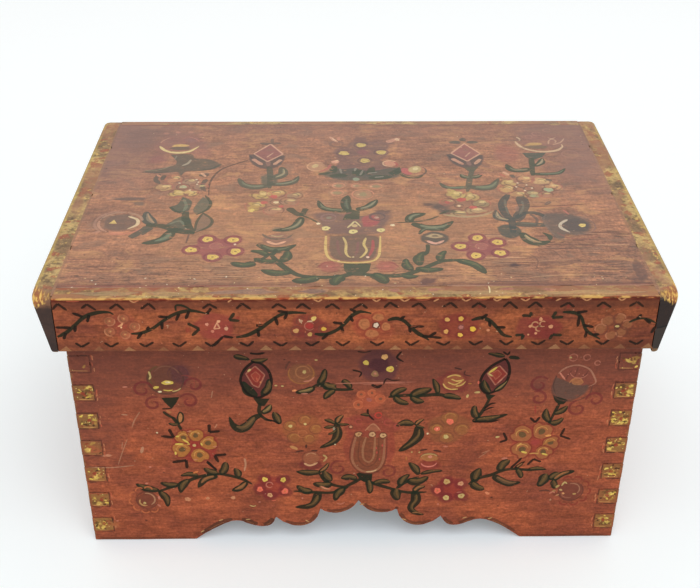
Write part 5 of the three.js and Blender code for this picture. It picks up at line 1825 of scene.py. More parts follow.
def lid_cup_left(art):
    art.cloud([
        (-134, 184), (-131, 200), (-122, 213), (-108, 214), (-97, 206), (-92, 190), (-88, 174), (-98, 172),
        (-106, 180), (-124, 178)
    ], (148, 92, 84), 0.42, 7)
    art.blob(-106.4, 201.6, 6.6, 6, (134, 96, 92), 0.5, 0, 3, "wash")
    art.blob(-125, 170, 8.4, 8.6, (140, 78, 74), 0.45, 0, 5, "wash")
    each(
        art.blob, ((-124.6, 212), (-117, 213.6), (-108.4, 213.8), (-101, 210)), rx=3, ry=2.4,
        colour=(196, 132, 110), solid=0.5, turn=0, feather=1.6, layer="wash"
    )
    art.arc(-113.6, 194, 13.2, 20, 70, 1, (190, 124, 108), 0.6)
    art.arc(-113.6, 194, 13.2, 125, 170, 1.1, (190, 140, 112), 0.6)
    art.blob(-112.4, 187.6, 8, 3.4, (92, 80, 58), 0.75, 0, 1.6)
    art.brush([
        (-126.4, 191), (-122.6, 185), (-118, 181.8), (-112.4, 180.8), (-106, 183), (-100.6, 190.8)
    ], 2.6, (222, 196, 134), 0.9, (0.3, 0.25))
    art.blob(-112.6, 192.2, 5.8, 2.4, (212, 170, 98), 0.85, 0, 0.8, "line")
    art.blob(-117, 191, 2, 1.4, (212, 170, 98), 0.7, 0, 0.8, "line")
    art.cloud([
        (-118.4, 178.8), (-104, 179.2), (-101, 172.6), (-93, 171.8), (-86.4, 167.4), (-82.4, 161.6),
        (-88, 155.4), (-98, 152.4), (-105, 151.6), (-107.4, 145.6), (-110.4, 151), (-118, 150),
        (-132.6, 151.6), (-124, 156), (-115.4, 160), (-112.6, 167)
    ], (78, 74, 58), 0.8, 1.6)
    art.brush([(-83.4, 163.6), (-89, 156.2), (-98, 153.6)], 1.8, (48, 62, 48), 0.7)
    each(art.brush, (
        ([(-103.6, 170), (-105, 164.6), (-108.6, 160.4)], 1.7, (176, 160, 134), 0.75),
        ([(-113.4, 176.4), (-114.2, 170)], 1, (150, 136, 116), 0.6),
        ([(-131.6, 153.4), (-122, 155), (-114, 162)], 1.1, (138, 128, 98), 0.6)
    ), layer="touch")
    art.brush([(-132.8, 151.8), (-124, 150.6), (-115, 152)], 1.6, (52, 62, 48), 0.7)


def lid_cup_right(art):
    art.cloud([
        (110, 196), (114, 208), (126, 216), (140, 210), (146, 198), (138, 188), (112, 188)
    ], (146, 98, 86), 0.42, 6)
    art.cloud([
        (94, 190), (102, 196), (110, 188), (111, 176), (107, 164), (98, 160), (92, 172)
    ], (158, 84, 74), 0.38, 5)
    each(
        art.arc, ((126, 210, 3), (120, 205, 2.4), (143, 177, 5.4), (134, 216, 2.6)), start=0, end=330,
        width=0.9, colour=(176, 122, 104), solid=0.5
    )
    art.blob(122.6, 188.4, 9, 3.2, (108, 92, 66), 0.72, 0, 1.6)
    art.brush([
        (109.8, 197.4), (112.4, 189), (118, 183.4), (126.4, 181), (134.8, 182.8), (139.8, 188.4), (140, 192.6)
    ], 2.2, (210, 176, 138), 0.85, (0.35, 0.35))
    art.brush([(111.6, 204.8), (113.4, 201.4), (112.8, 198.6)], 1.4, (214, 182, 146), 0.7)
    for points in (
        [(131.4, 193), (133, 199.4), (138, 204)], [(134, 192), (140, 196), (143.6, 202.6)],
        [(132.6, 203.6), (137, 199), (136, 194.6)]
    ):
        art.brush(points, 1.1, (206, 164, 132), 0.6)
    art.blob(122, 193.2, 6, 2.5, (206, 164, 98), 0.78, 4, 0.9, "line")
    art.blob(117, 191.2, 2.4, 1.6, (190, 150, 92), 0.6, 4, 0.8, "line")
    art.patch([(111.8, 179), (127.8, 179.4), (124, 172.4), (118, 168.4), (113.4, 171.6)], (62, 72, 56), 0.9)
    art.brush([(116.6, 171), (115.4, 160), (113.6, 145)], 3.6, LID_GREEN, 0.88, (0.9, 0.5))
    lid_leaves(art, ((117, 158.6, 123.6, 171, 5, -0.12),), (150, 138, 112), 0.4)
    art.blade([
        (114, 154.6), (106, 152.4), (101, 154.4), (99.2, 162)
    ], 6.4, LID_GREEN, (112, 112, 88), 0.4, 0.75)
    art.blade([
        (114.6, 147.2), (124, 147.2), (131, 149), (136, 155.6)
    ], 4.4, LID_GREEN, (100, 108, 86), 0.4, 0.7)


def lid_diamond(art, x, y, lean):
    """A pointed bud: a pale diamond in a dark cup."""

    def at(points):
        return [(x + px + lean * py, y + py) for px, py in points]

    art.cloud(
        at([
            (-13.6, -2), (-12.6, -12), (-8.4, -20.6), (-1.4, -25), (6, -22.6), (10, -14), (11, -4), (6, -4),
            (-8, -2)
        ]),
        (74, 62, 56), 0.86, 1.4
    )
    art.brush(at([(-0.4, -12), (0.4, -20)]), 3, (146, 104, 88), 0.7, (0.9, 0.4))
    diamond = at([(-10, -1.4), (0.2, 14), (9, -2), (-0.6, -13.6)])
    art.patch(diamond, (146, 88, 78), 0.92, "body")
    for a, b in zip(diamond, diamond[1:] + diamond[:1]):
        art.brush([a, b], 1.3, (208, 158, 128), 0.82, (0.8, 0.8), layer="touch")
    art.brush(at([(-1.4, -7), (2.8, 0.4)]), 1.1, (206, 158, 128), 0.7)
    art.blob(x + 0.4, y + 4.4, 3, 2.4, (136, 100, 80), 0.5, 0, 1.2, "line")
    art.brush(at([(-10.2, -9.4), (-3.6, -18.6)]), 3, (208, 150, 120), 0.82, (0.45, 0.3))
    art.brush(at([(8.2, -10.4), (3.6, -18.4)]), 2.6, (208, 154, 122), 0.78, (0.45, 0.3))
    art.brush(at([(-12.8, -4), (-10.4, -8.6)]), 1.4, (62, 54, 50), 0.8)


def lid_bud_left(art):
    lid_diamond(art, -53.6, 180.2, 0)
    each(art.brush, (
        ([(-60.4, 195.4), (-54, 194.6), (-46.4, 195.8)], 3.6, (88, 76, 64), 0.72),
        ([(-52.6, 203.4), (-52.4, 196)], 2.4, (88, 76, 64), 0.6),
        ([(-52.6, 159), (-51.6, 148), (-51, 128)], 3.8, BUD_GREEN, 0.88, (0.8, 0.4))
    ))
    each(art.blade, (
        ([(-50.6, 141), (-43.6, 148), (-45, 158.6)], 7.4, BUD_GREEN, (150, 140, 110), 0.3),
        ([(-51.6, 131.4), (-60.6, 130), (-67, 133), (-71, 142.4)], 6.6, BUD_GREEN, (112, 114, 90), 0.42, 0.7),
        ([(-51.4, 133.6), (-42.6, 134), (-36, 138), (-33.6, 145.4)], 6, BUD_GREEN, (120, 124, 100), 0.36, 0.7)
    ))
    art.cloud([(-58, 146), (-51, 150), (-46, 140), (-48, 131), (-56, 132)], (78, 86, 68), 0.75, 2)
    art.brush([
        (-66.6, 169), (-75.4, 162.4), (-82.6, 155.4), (-86.6, 145.6), (-88.4, 133.6), (-87.4, 119)
    ], 1.3, LID_INK, 0.75, (0.6, 0.4))


def lid_bud_right(art):
    lid_diamond(art, 75.2, 180.2, 0)
    each(art.blob, (
        (69.4, 196.4, 4.6, 2.8, (82, 78, 66), 0.85, -6, 1), (80.8, 196.4, 4.6, 2.6, (82, 78, 66), 0.85, 6, 1),
        (75, 200.6, 2.8, 3.4, (78, 74, 62), 0.85, 0, 1)
    ))
    art.patch([(70.6, 157.6), (81, 158), (77.4, 151), (74, 150.6)], BUD_GREEN, 0.9)
    art.brush([(76.4, 154), (73.4, 140), (70, 121.6)], 3.6, BUD_GREEN, 0.88, (0.8, 0.3))
    lid_leaves(art, (
        (74, 142, 68.4, 147.4, 4.6, 0.2), (74, 142.4, 81.6, 147.4, 4.2, -0.14)
    ), (120, 116, 90), 0.45)
    art.brush([(80, 146), (82.6, 147.6)], 1.3, (196, 110, 92), 0.6)
    art.blade([
        (71.4, 129), (62, 127.6), (57, 129.4), (54.2, 135.4)
    ], 4.6, BUD_GREEN, (106, 120, 94), 0.45, 0.7)
    art.blade([(71.6, 129.6), (79, 127.6), (86, 130), (91.6, 141)], 7, BUD_GREEN, (108, 116, 90), 0.5, 0.62)


def lid_bouquet(art):
    art.cloud([
        (3, 208), (10, 208), (12, 202), (22, 203), (27, 195), (25, 184), (25, 174), (20, 168), (25, 159),
        (19, 148), (6, 145), (-8, 144), (-15, 154), (-10, 162), (-11, 174), (-14, 181), (-10, 189), (-4, 192),
        (0, 200)
    ], (108, 78, 72), 0.68, 4)
    art.arc(-9.6, 194, 4.4, 0, 350, 2.2, (112, 84, 72), 0.5)
    art.cloud([(2, 181), (7, 187), (13, 181), (8, 174)], (146, 84, 82), 0.6, 2.4)
    for x, y in ((6.6, 192.2), (-4.8, 179.4), (19.6, 180.6), (8.6, 167.8)):
        art.arc(x, y, 4.6, 0, 350, 1.2, (92, 66, 62), 0.6)
        art.dot(x, y, 3.4, (210, 182, 104), 0.92, "line")
        art.arc(x, y, 1.8, 0, 300, 0.9, (176, 138, 72), 0.5, "touch")
    art.brush([(-14, 206), (-11.4, 200.4), (-8.6, 197)], 2.2, (218, 162, 132), 0.75)
    art.brush([(-8, 205), (-8.4, 199.6)], 2.2, (206, 142, 116), 0.7)
    art.brush([(-12.6, 203.6), (-9.6, 199)], 0.9, (240, 204, 166), 0.8, layer="touch")
    art.brush([(24, 196.6), (28.4, 200.4), (33, 203)], 4.2, (202, 146, 120), 0.72, (0.5, 0.3))
    art.blob(31, 201.2, 1.6, 2.4, (230, 190, 150), 0.7, 20, layer="touch")
    art.brush([(25, 194.6), (29.6, 193.6)], 1.4, (96, 70, 60), 0.6)
    art.blob(-22.4, 159.2, 5.2, 6.4, (178, 130, 96), 0.85, -24, 0.8)
    art.arc(-22.4, 159.2, 6, 50, 320, 1.2, (216, 162, 122), 0.7, squeeze=1.1)
    art.blob(-23.4, 160, 2.2, 3.4, (204, 176, 122), 0.8, -24, 0.8, "line")
    art.brush([(-20.6, 151.6), (-15.4, 156), (-13.4, 163)], 2, (180, 92, 84), 0.75)
    art.blob(-10.6, 166, 3.2, 2.6, (220, 160, 130), 0.85, 30, 0.7, "line")
    art.blob(-9.6, 168, 1.4, 1, (238, 196, 156), 0.8, 30, layer="touch")
    art.blob(24.4, 163.4, 4.4, 4.4, (204, 142, 112), 0.85, 0, 0.8)
    art.arc(24.4, 163.4, 4.4, 30, 300, 1, (232, 186, 146), 0.7)
    art.brush([(27.4, 165.6), (29.2, 161.6), (27.4, 158.6)], 1.6, (176, 76, 68), 0.7)
    each(art.blob, (
        (34.4, 151.6, 3.8, 5.6, (184, 90, 86), 0.88, 24, 0.8),
        (40, 154.4, 4.4, 5.6, (196, 168, 114), 0.9, -16, 0.8, "line"),
        (40.4, 155.4, 2, 2.8, (226, 204, 150), 0.8, -16, 0.8, "touch")
    ))
    art.arc(39, 152.6, 8, 205, 400, 1.2, (64, 62, 52), 0.75)
    art.arc(38, 149.4, 7.4, 190, 330, 2.2, LID_GREEN, 0.85)
    art.patch([(22.6, 149.6), (30.6, 158.4), (31.6, 150), (26, 144.6)], LID_GREEN, 0.92)
    for x, y, rx, ry, turn in (
        (-11.6, 155, 2.8, 6, 0), (-8.6, 145.6, 6.4, 3, 6), (4, 149.6, 4.6, 5.6, 0), (17.6, 143, 7.6, 3.8, 8),
        (12, 152, 3, 6.6, -10), (-17.6, 148.6, 4.4, 2.2, 20)
    ):
        art.blob(x, y, rx, ry, LID_GREEN, 0.85, turn, 0.8)
    for points in (
        [(-6.6, 149), (-7.6, 156)], [(5, 146), (7, 153.6)], [(10, 149), (16, 150.4)],
        [(1.6, 152), (2.6, 157)], [(14, 143), (20, 144)]
    ):
        art.brush(points, 1.4, (150, 138, 120), 0.7, layer="touch")
    art.cloud([
        (-20, 146), (-14, 157), (-6, 155.4), (2, 157), (12, 152), (22, 156), (31, 157), (31, 144),
        (12, 138.6), (-8, 139)
    ], (64, 72, 60), 0.78, 2)
    art.blob(2.4, 140.4, 2.5, 2.6, (150, 160, 132), 0.85, 0, 0.6)
    for x, y, rx, ry, turn in (
        (-8.6, 131.4, 5, 3.8, 0), (-9.4, 121.4, 6.4, 3.8, 0), (6.2, 119.4, 5.6, 6.6, 0),
        (14.6, 130.2, 6.2, 3.6, 10), (2.6, 131, 3.2, 3.2, 0)
    ):
        art.blob(x, y, rx, ry, (176, 132, 96), 0.7, turn, 0.9, "wash")
        art.arc(x, y, ry, 0, 340, 1.1, (204, 136, 104), 0.7, squeeze=1)
        art.blob(x, y, rx * 0.45, ry * 0.5, (146, 132, 92), 0.75, turn, 0.6, "line")
        art.blob(x - rx * 0.5, y, 1.1, 0.8, (222, 184, 140), 0.6, turn, layer="touch")


def lid_vase(art):
    each(art.cloud, (
        ([
            (-14.4, 67), (-14.6, 48), (-10.6, 39.6), (0, 37.6), (9.4, 39.6), (12.6, 48), (13, 67)
        ], (112, 86, 68), 0.86, 1.4),
        ([
            (-17, 68), (15, 68), (19, 78), (24, 92), (15, 97), (6, 92), (-4, 94), (-16, 97), (-25, 94),
            (-21, 80)
        ], (108, 80, 72), 0.78, 3),
        ([(5, 77), (12.6, 78), (16, 87), (11, 93.4), (4.4, 89)], (172, 78, 76), 0.75, 1.6)
    ))
    art.arc(-14.6, 89.2, 4.2, 0, 350, 1.5, (150, 112, 100), 0.7)
    art.blob(-14.4, 89, 2, 2, (140, 132, 108), 0.7, 0, 0.8, "line")
    art.arc(14, 90, 4.4, 0, 350, 1.6, (96, 76, 70), 0.75)
    art.blob(13.4, 89, 1.6, 1.4, (196, 160, 134), 0.75, 0, layer="touch")
    each(art.brush, (
        ([
            (-16, 67), (-16.2, 52), (-14.6, 42.6), (-10, 38), (0, 36.2), (9, 38), (12.8, 43), (14, 52),
            (14.8, 66.6)
        ], 1.5, (216, 182, 110), 0.9, (0.8, 0.5)),
        ([
            (-6.4, 65.4), (-4.8, 58), (-5, 48), (-3.6, 43.2), (-2, 42.4)
        ], 1.5, (218, 188, 120), 0.9, (0.4, 0.6)),
        ([(6.6, 64.6), (5.2, 57), (6.6, 50), (4.4, 44), (2.6, 41.8)], 1.5, (212, 182, 114), 0.88, (0.4, 0.6)),
        ([(-9.6, 62), (-9, 50), (-7, 43)], 1.6, (136, 84, 76), 0.55),
        ([(10.4, 62), (10, 52), (7.6, 43)], 1.8, (176, 74, 72), 0.72),
        ([(2, 60), (1.4, 50), (0, 44)], 1.6, (140, 84, 80), 0.5)
    ))
    art.dot(7, 42.4, 1.2, (240, 196, 166), 0.9)
    art.dot(-1, 42.6, 0.8, (236, 206, 150), 0.8)
    for x, y, r in ((-16.2, 76, 2.7), (-0.6, 72, 2.8), (15.4, 73.6, 2.6)):
        art.dot(x, y, r, (228, 206, 136), 0.94)
        art.dot(x, y, r * 0.28, BROWN, 0.6)
    art.dot(0.4, 79, 2, (206, 176, 124), 0.85)
    art.brush([(-3.8, 76.4), (-1, 81.4), (0.8, 84), (4, 77.6)], 1.2, (220, 198, 140), 0.85)
    art.dot(-20.6, 81.8, 1.4, (240, 218, 174), 0.9)
    art.dot(22.4, 79.6, 1.5, (240, 218, 174), 0.9)
    for x, sign in ((-13.8, -1), (17, 1)):
        art.cloud([
            (x - 7, 32), (x - 4, 38), (x + 4, 38), (x + 7, 32), (x + 4, 27), (x - 4, 27)
        ], (164, 80, 72), 0.62, 2.2)
        art.brush([(x - sign * 4, 37.6), (x + sign * 3, 36.4), (x + sign * 6.8, 31)], 1.2, (136, 58, 54), 0.6)
        art.brush([(x - sign * 5.4, 28), (x, 26.4), (x + sign * 5, 28.6)], 1, (136, 58, 54), 0.5)
        art.blob(x, 32.4, 2, 1.4, (196, 112, 92), 0.6, 0, 0.8, "line")
    art.patch([
        (-6.4, 35.6), (8.8, 35.8), (7.6, 28.4), (3.8, 22), (-3.8, 22.6), (-6.4, 28.6)
    ], LID_GREEN, 0.93)
    each(art.blade, (
        ([(-2.6, 98), (-12, 98.6), (-18.4, 102.4), (-21, 111.4)], 5.4, LID_GREEN, (112, 116, 90), 0.4, 0.7),
        ([(1.6, 99), (9, 103), (14.6, 112.4)], 6, LID_GREEN, (132, 130, 104), 0.4, 0.8),
        ([(-3, 97), (-4.6, 107), (-3, 118)], 6.6, LID_GREEN, (84, 92, 72), 0.35, 0.8)
    ))
    art.patch([(-3, 101), (4, 97), (3.4, 87), (-6.6, 86)], LID_GREEN, 0.88)
    art.brush([(-7, 92.6), (-1, 95.6)], 1.4, (160, 104, 88), 0.6, layer="touch")


def lid_garland(art):
    art.brush([
        (-2, 24.6), (-9.6, 21.2), (-19.6, 21), (-30, 23), (-37.4, 30.4), (-42.6, 38), (-47, 47.4)
    ], 3.6, LID_GREEN, 0.94, (0.9, 0.6))
    art.brush([
        (4, 24), (14, 22.2), (24, 22.6), (33, 27), (40.6, 33), (48.6, 38.2), (60.4, 38.6)
    ], 3.6, LID_GREEN, 0.94, (0.9, 0.6))
    lid_leaves(art, (
        (-6.6, 22.6, -11.6, 12.4, 8, -0.14), (-19.6, 21.4, -34, 17.6, 7.4, 0.1),
        (-34, 26.8, -51, 29, 6.4, 0.14), (8.6, 24, 16, 14, 8, 0.12), (24, 22.6, 33.6, 21.8, 4.6, -0.1),
        (32.6, 30.2, 47.6, 29.6, 6, -0.12), (30.6, 27.6, 28, 40.6, 5.6, 0.12), (35, 33, 38.6, 48.6, 6, 0.12),
        (46.4, 37.6, 50.6, 49.4, 5, 0.1), (55.6, 39, 70, 24, 6.4, 0.14), (56.6, 38.6, 64.6, 32.6, 4.6, 0.1),
        (-40.6, 37, -38, 51.6, 6, -0.14), (-42.6, 38.4, -55.6, 41.6, 5.4, 0.14),
        (-47.6, 44, -58, 50, 5, -0.14), (-54, 35.6, -68, 36.8, 6, 0.14)
    ), (80, 88, 56), 0.42)
    art.brush([(-47, 47), (-51.6, 40), (-60, 36.6)], 2.2, LID_GREEN, 0.88)
    art.cloud([
        (-52, 66), (-43.6, 71), (-35, 66), (-35, 59.6), (-43.6, 55), (-52, 59.6)
    ], (146, 102, 80), 0.8, 1.4)
    each(art.brush, (
        ([(-52.4, 69.6), (-49, 65), (-43.6, 63.4), (-38, 65), (-35, 69)], 1.8, (94, 84, 66), 0.75),
        ([(-49.4, 61), (-44, 57.6), (-38.4, 61)], 2, (228, 168, 132), 0.88),
        ([(-47.4, 67.6), (-43.6, 66.4), (-40, 67.6)], 1.3, (196, 166, 120), 0.75)
    ))
    art.blob(-43.6, 75, 4, 3.4, (110, 104, 82), 0.6, 0, 1.4, "wash")
    art.blade([
        (-54.6, 57.6), (-47, 51.4), (-40, 51.4), (-32.6, 57)
    ], 6.4, LID_GREEN, (98, 104, 76), 0.36, 0.9)
    art.brush([(-43.8, 52), (-45, 45)], 2.4, LID_GREEN)
    art.cloud([
        (37.4, 67), (45, 72.4), (53, 68), (53.6, 60.6), (45.6, 54.6), (37.4, 59.6)
    ], (76, 70, 58), 0.88, 1.4)
    art.cloud([(39.6, 66), (45.4, 69.6), (51.2, 66), (45.6, 63.4)], (188, 158, 116), 0.85, 1)
    art.blob(46, 66.4, 2.4, 1.4, (110, 92, 68), 0.8, 0, 0.6, "line")
    art.brush([(40.8, 60.8), (45.6, 57.6), (50.6, 61)], 2.2, (228, 168, 142), 0.9, layer="touch")
    art.brush([(41, 56.6), (40.6, 50), (38.6, 44)], 2.4, LID_GREEN)
    art.blade([(37, 68.6), (41.6, 75), (52.6, 72.6)], 3.4, LID_GREEN, (104, 108, 82), 0.4)


def lid_roses(art):
    art.cloud([
        (-146, 84), (-143, 92), (-135, 95.4), (-127, 92), (-124, 84), (-127, 76), (-135, 72.6), (-143, 76)
    ], (112, 86, 70), 0.85, 2)
    for start, end, r, colour in (
        (10, 80, 12.4, (186, 146, 118)), (85, 165, 12.8, (180, 140, 116)), (170, 240, 12.8, (204, 150, 122)),
        (245, 300, 12.2, (216, 140, 108)), (100, 230, 15, (176, 130, 108)), (250, 330, 14.6, (196, 120, 96))
    ):
        art.arc(-135, 84, r, start, end, 1.6, colour, 0.62)
    art.brush([
        (-131.8, 91.6), (-126, 87.4), (-125.4, 81), (-130, 76)
    ], 2, (226, 196, 152), 0.85, (0.3, 0.3), layer="touch")
    art.patch([(-142, 82.6), (-137, 82.6), (-139.4, 87.6)], (224, 188, 108), 0.92, "touch")
    art.blob(-135.6, 71, 4.6, 1.8, (212, 138, 106), 0.6, 0, 0.8, "line")
    art.blob(-147, 72, 3, 1.8, (200, 140, 110), 0.5, 30, 0.8, "line")
    each(art.cloud, (
        ([(-146.6, 113.4), (-137, 116.4), (-124, 115.8), (-125, 112), (-138, 112)], (92, 74, 64), 0.75, 1.6),
        ([(-133, 110), (-125, 110.6), (-124.6, 104.6), (-130, 106)], (98, 80, 68), 0.7, 1.6),
        ([
            (109.4, 94.4), (119.4, 95), (128, 93.6), (136.4, 87.4), (138.8, 78.6), (135, 69.4), (127, 65.6),
            (121, 67.4), (118.4, 61), (113.6, 61.6), (110.6, 74), (108.6, 85)
        ], (90, 78, 68), 0.82, 2.6)
    ))
    art.blob(128.6, 78.6, 9.4, 9.6, (84, 70, 62), 0.82, 0, 2.2)
    art.brush([
        (124.8, 85.8), (120, 80.6), (119.4, 75.6), (123.4, 70.2)
    ], 2, (204, 184, 158), 0.88, (0.3, 0.3), layer="touch")
    art.dot(132.2, 78.6, 2.3, (228, 196, 112), 0.95)
    art.arc(128.6, 78.6, 11, 250, 420, 1, (128, 96, 84), 0.6, "touch")
    art.brush([(113, 92), (110.6, 84), (112.6, 72), (116, 63)], 1.4, (128, 104, 88), 0.55, layer="touch")
    art.arc(128.6, 76, 14, 205, 320, 1.1, (150, 84, 72), 0.5)
    for dots, centre in (
        (((-82.9, 63.4), (-68.4, 62.6), (-91, 51.4), (-66.2, 49.4), (-78.3, 43.2)), (-77.4, 55.6)),
        (((69.8, 63.9), (80.6, 58.8), (59.2, 54.2), (80.6, 46.6), (66.8, 43.8)), (71.2, 54))
    ):
        around = sorted(dots, key=lambda dot: math.atan2(dot[1] - centre[1], dot[0] - centre[0]))
        outline = []
        for before, dot in zip(around[-1:] + around[:-1], around):
            notch = [(p + q) / 2 for p, q in zip(before, dot)]
            outline.append(tuple(c + 1.16 * (n - c) for c, n in zip(centre, notch)))
            reach = math.dist(dot, centre)
            ux, uy = (dot[0] - centre[0]) / reach, (dot[1] - centre[1]) / reach
            outline += [
                (dot[0] + ux * 3.4 + uy * 5.2, dot[1] + uy * 3.4 - ux * 5.2),
                (dot[0] + ux * 6.4, dot[1] + uy * 6.4),
                (dot[0] + ux * 3.4 - uy * 5.2, dot[1] + uy * 3.4 + ux * 5.2)
            ]
        art.cloud(outline, (142, 66, 68), 0.78, 1.8)
        for x, y in dots:
            art.arc(x, y, 4.8, 0, 350, 1.3, (116, 46, 50), 0.6)
            art.dot(x, y, 3.3, (226, 190, 98), 0.95)
            art.arc(x, y, 1.9, 20, 330, 0.7, (190, 148, 70), 0.4, "touch")
            art.dot(x, y, 0.9, (124, 84, 50), 0.8)
        art.blob(*centre, 3.8, 3.6, (164, 100, 84), 0.7, 0, 1.2, "line")
        art.arc(*centre, 3.6, 0, 320, 0.9, (190, 120, 98), 0.5, "touch")
    art.dot(-67, 57.4, 1, (240, 210, 176), 0.85)


def lid_leaf_sprays(art):
    green, dull = LID_GREEN, (74, 80, 60)
    art.brush([(-99, 98), (-97.6, 86), (-92, 70.6)], 4.6, green, 0.88, (0.8, 0.6))
    art.brush([(-120, 80.6), (-111, 79.6), (-101, 74), (-91, 70.4)], 5.4, green, 0.88, (0.7, 0.5))
    art.cloud([
        (-103, 117.4), (-96.6, 111), (-97, 99), (-100, 94.4), (-105, 96), (-109.4, 103), (-105, 107)
    ], dull, 0.88, 0.8)
    art.brush([(-102, 113.6), (-99.4, 104.6), (-100.6, 97.6)], 2, (126, 128, 100), 0.7, layer="touch")
    art.brush([(-109, 103.4), (-104.6, 97.6), (-99.4, 96)], 2, green, 0.88)
    art.cloud([
        (-90.6, 117.4), (-85.4, 110), (-86, 101), (-92, 93.6), (-95, 98.6), (-93.6, 108)
    ], (94, 92, 70), 0.85, 0.8)
    art.brush([(-89.6, 118.6), (-85.4, 109), (-86.6, 100), (-92.6, 93)], 1.9, green, 0.85)
    art.cloud([(-109, 81.6), (-100.6, 92), (-94.6, 88), (-94.4, 76.6), (-101.6, 74.6)], dull, 0.86, 0.8)
    art.brush([(-106.6, 82), (-101, 85.6), (-98, 80)], 1.6, (128, 130, 104), 0.6, layer="touch")
    art.cloud([(-88.6, 95.4), (-82.4, 86.6), (-83, 79), (-90.6, 71.6), (-91, 84)], (120, 98, 76), 0.7, 0.8)
    art.brush([(-89, 96), (-82.6, 87), (-83.6, 78.6), (-90.8, 71.4)], 1.8, green, 0.8)
    art.brush([(-88.8, 95), (-91.2, 84), (-91, 72.6)], 1.6, green, 0.8)
    art.blade([(-114.6, 80), (-119.4, 87), (-122.4, 97.6)], 7.4, (72, 72, 58), (150, 128, 102), 0.42, 0.8)
    art.brush([(-118.6, 79), (-122.6, 72), (-127, 65.6)], 4.4, (72, 76, 60), 0.85, (0.4, 0.9))
    art.brush([(-116, 77.6), (-119, 72.6), (-120.6, 68.6)], 2.8, (72, 76, 60), 0.8)
    art.blade([(-104.4, 74), (-106.6, 65.6), (-112, 61), (-119.4, 59)], 7.4, green, (104, 116, 94), 0.5, 0.75)
    art.brush([(-94, 70), (-94.6, 58.6)], 1.1, (86, 66, 56), 0.7)
    each(art.brush, (
        ([(94.6, 118.6), (89.6, 107), (89.4, 94), (92, 84), (91, 70)], 5, (58, 64, 56), 0.86),
        ([(101.6, 116), (102, 104), (99, 94.6), (94.6, 84)], 7, (62, 66, 58), 0.8),
        ([(95, 88), (101, 94), (107.6, 94), (112.6, 89)], 3.6, (58, 64, 56), 0.82),
        ([(93.6, 80.6), (102, 79.6), (111.6, 79)], 5.4, (56, 66, 56), 0.85),
        ([(84.6, 98), (83, 90), (90.6, 82.6)], 2.2, (72, 70, 58), 0.8),
        ([(118.6, 109), (115, 104.6)], 2.6, (82, 70, 62), 0.7),
        ([(104, 93), (107, 86), (105.6, 80)], 1.8, (84, 72, 62), 0.7)
    ), ends=(0.6, 0.6))
    for points in (
        [(91.6, 112), (91, 102), (91.4, 92)], [(101.8, 110), (101, 101), (97.6, 92)],
        [(97, 81.6), (106, 80.6)]
    ):
        art.brush(points, 1.4, (124, 118, 96), 0.5, layer="touch")
    art.cloud([(82, 76.6), (88, 80.6), (95, 77), (96, 69), (89.6, 62.6), (83.4, 67)], (62, 70, 58), 0.88, 1)
    each(art.blade, (
        ([(95.6, 70), (98.6, 62), (104, 57.6), (110.6, 60)], 7.6, green, (166, 148, 112), 0.35, 0.8),
        ([(110.6, 60.6), (111, 65.6), (107.6, 70)], 3, green, None),
        ([(92.6, 84), (85, 88), (84.6, 97)], 5.6, (84, 80, 66), (156, 140, 110), 0.45)
    ))
    art.arc(100.6, 72.6, 3.4, 30, 320, 1.2, (196, 150, 116), 0.5)
    art.brush([(98, 103), (96.6, 96)], 2.4, (150, 110, 90), 0.5, layer="touch")
    each(art.brush, (
        ([(-38.6, 101.6), (-34, 95), (-29.6, 91.6)], 4.6), ([(-28, 101), (-30.6, 91.6)], 3.6),
        ([(-31, 92.6), (-25, 87.6), (-20.6, 82.6)], 1.5), ([(50, 90.6), (40, 84.6), (23.6, 82.6)], 1.5),
        ([(50.6, 93), (56.6, 97), (62, 96)], 1.8)
    ), colour=LID_GREEN, solid=0.85)
    each(art.blade, (
        ([(-30.4, 90), (-33, 80), (-38.6, 75), (-47, 73.6)], 6, LID_GREEN, (128, 124, 96), 0.42, 0.8),
        ([(32, 82.6), (34, 90), (42.6, 94)], 6.6, LID_GREEN, (118, 122, 96), 0.38, 0.8),
        ([(33.6, 81.6), (42, 76.4), (50.6, 77), (58, 84.4)], 7, LID_GREEN, (118, 122, 96), 0.45, 0.8)
    ))
    for points in (
        [(-121, 148.6), (-122.6, 141), (-119, 134.6)], [(-117.6, 147), (-118.6, 139.6)],
        [(-96, 147.6), (-91.6, 146), (-91.6, 151)], [(-91, 141), (-92.6, 132), (-90, 124)]
    ):
        art.brush(points, 3, (66, 66, 54), 0.75)


def pale_petal(art, x, y, rx, ry, colour, turn=0):
    """A faded petal: a pale dab with a reddish edge, a lighter spot and a dark fleck."""
    art.blob(x, y, rx * 1.12, ry * 1.12, colour, 0.75, turn, 1.4, "body", 1, 0.3)
    start = art.chance.uniform(0, 360)
    art.arc(x, y, (rx + ry) / 2 * 1.12, start, start + 200, 1.2, (112, 74, 56), 0.6)
    art.arc(x, y, (rx + ry) / 2 * 1.2, start + 190, start + 330, 1.1, (178, 96, 78), 0.42)
    art.blob(x + rx * 0.25, y + ry * 0.4, rx * 0.6, ry * 0.4, (226, 196, 132), 0.65, turn, 0.9, "line")
    art.arc(x, y, (rx + ry) / 2 * 0.55, start + 90, start + 240, 1.1, (104, 84, 56), 0.6, "touch")


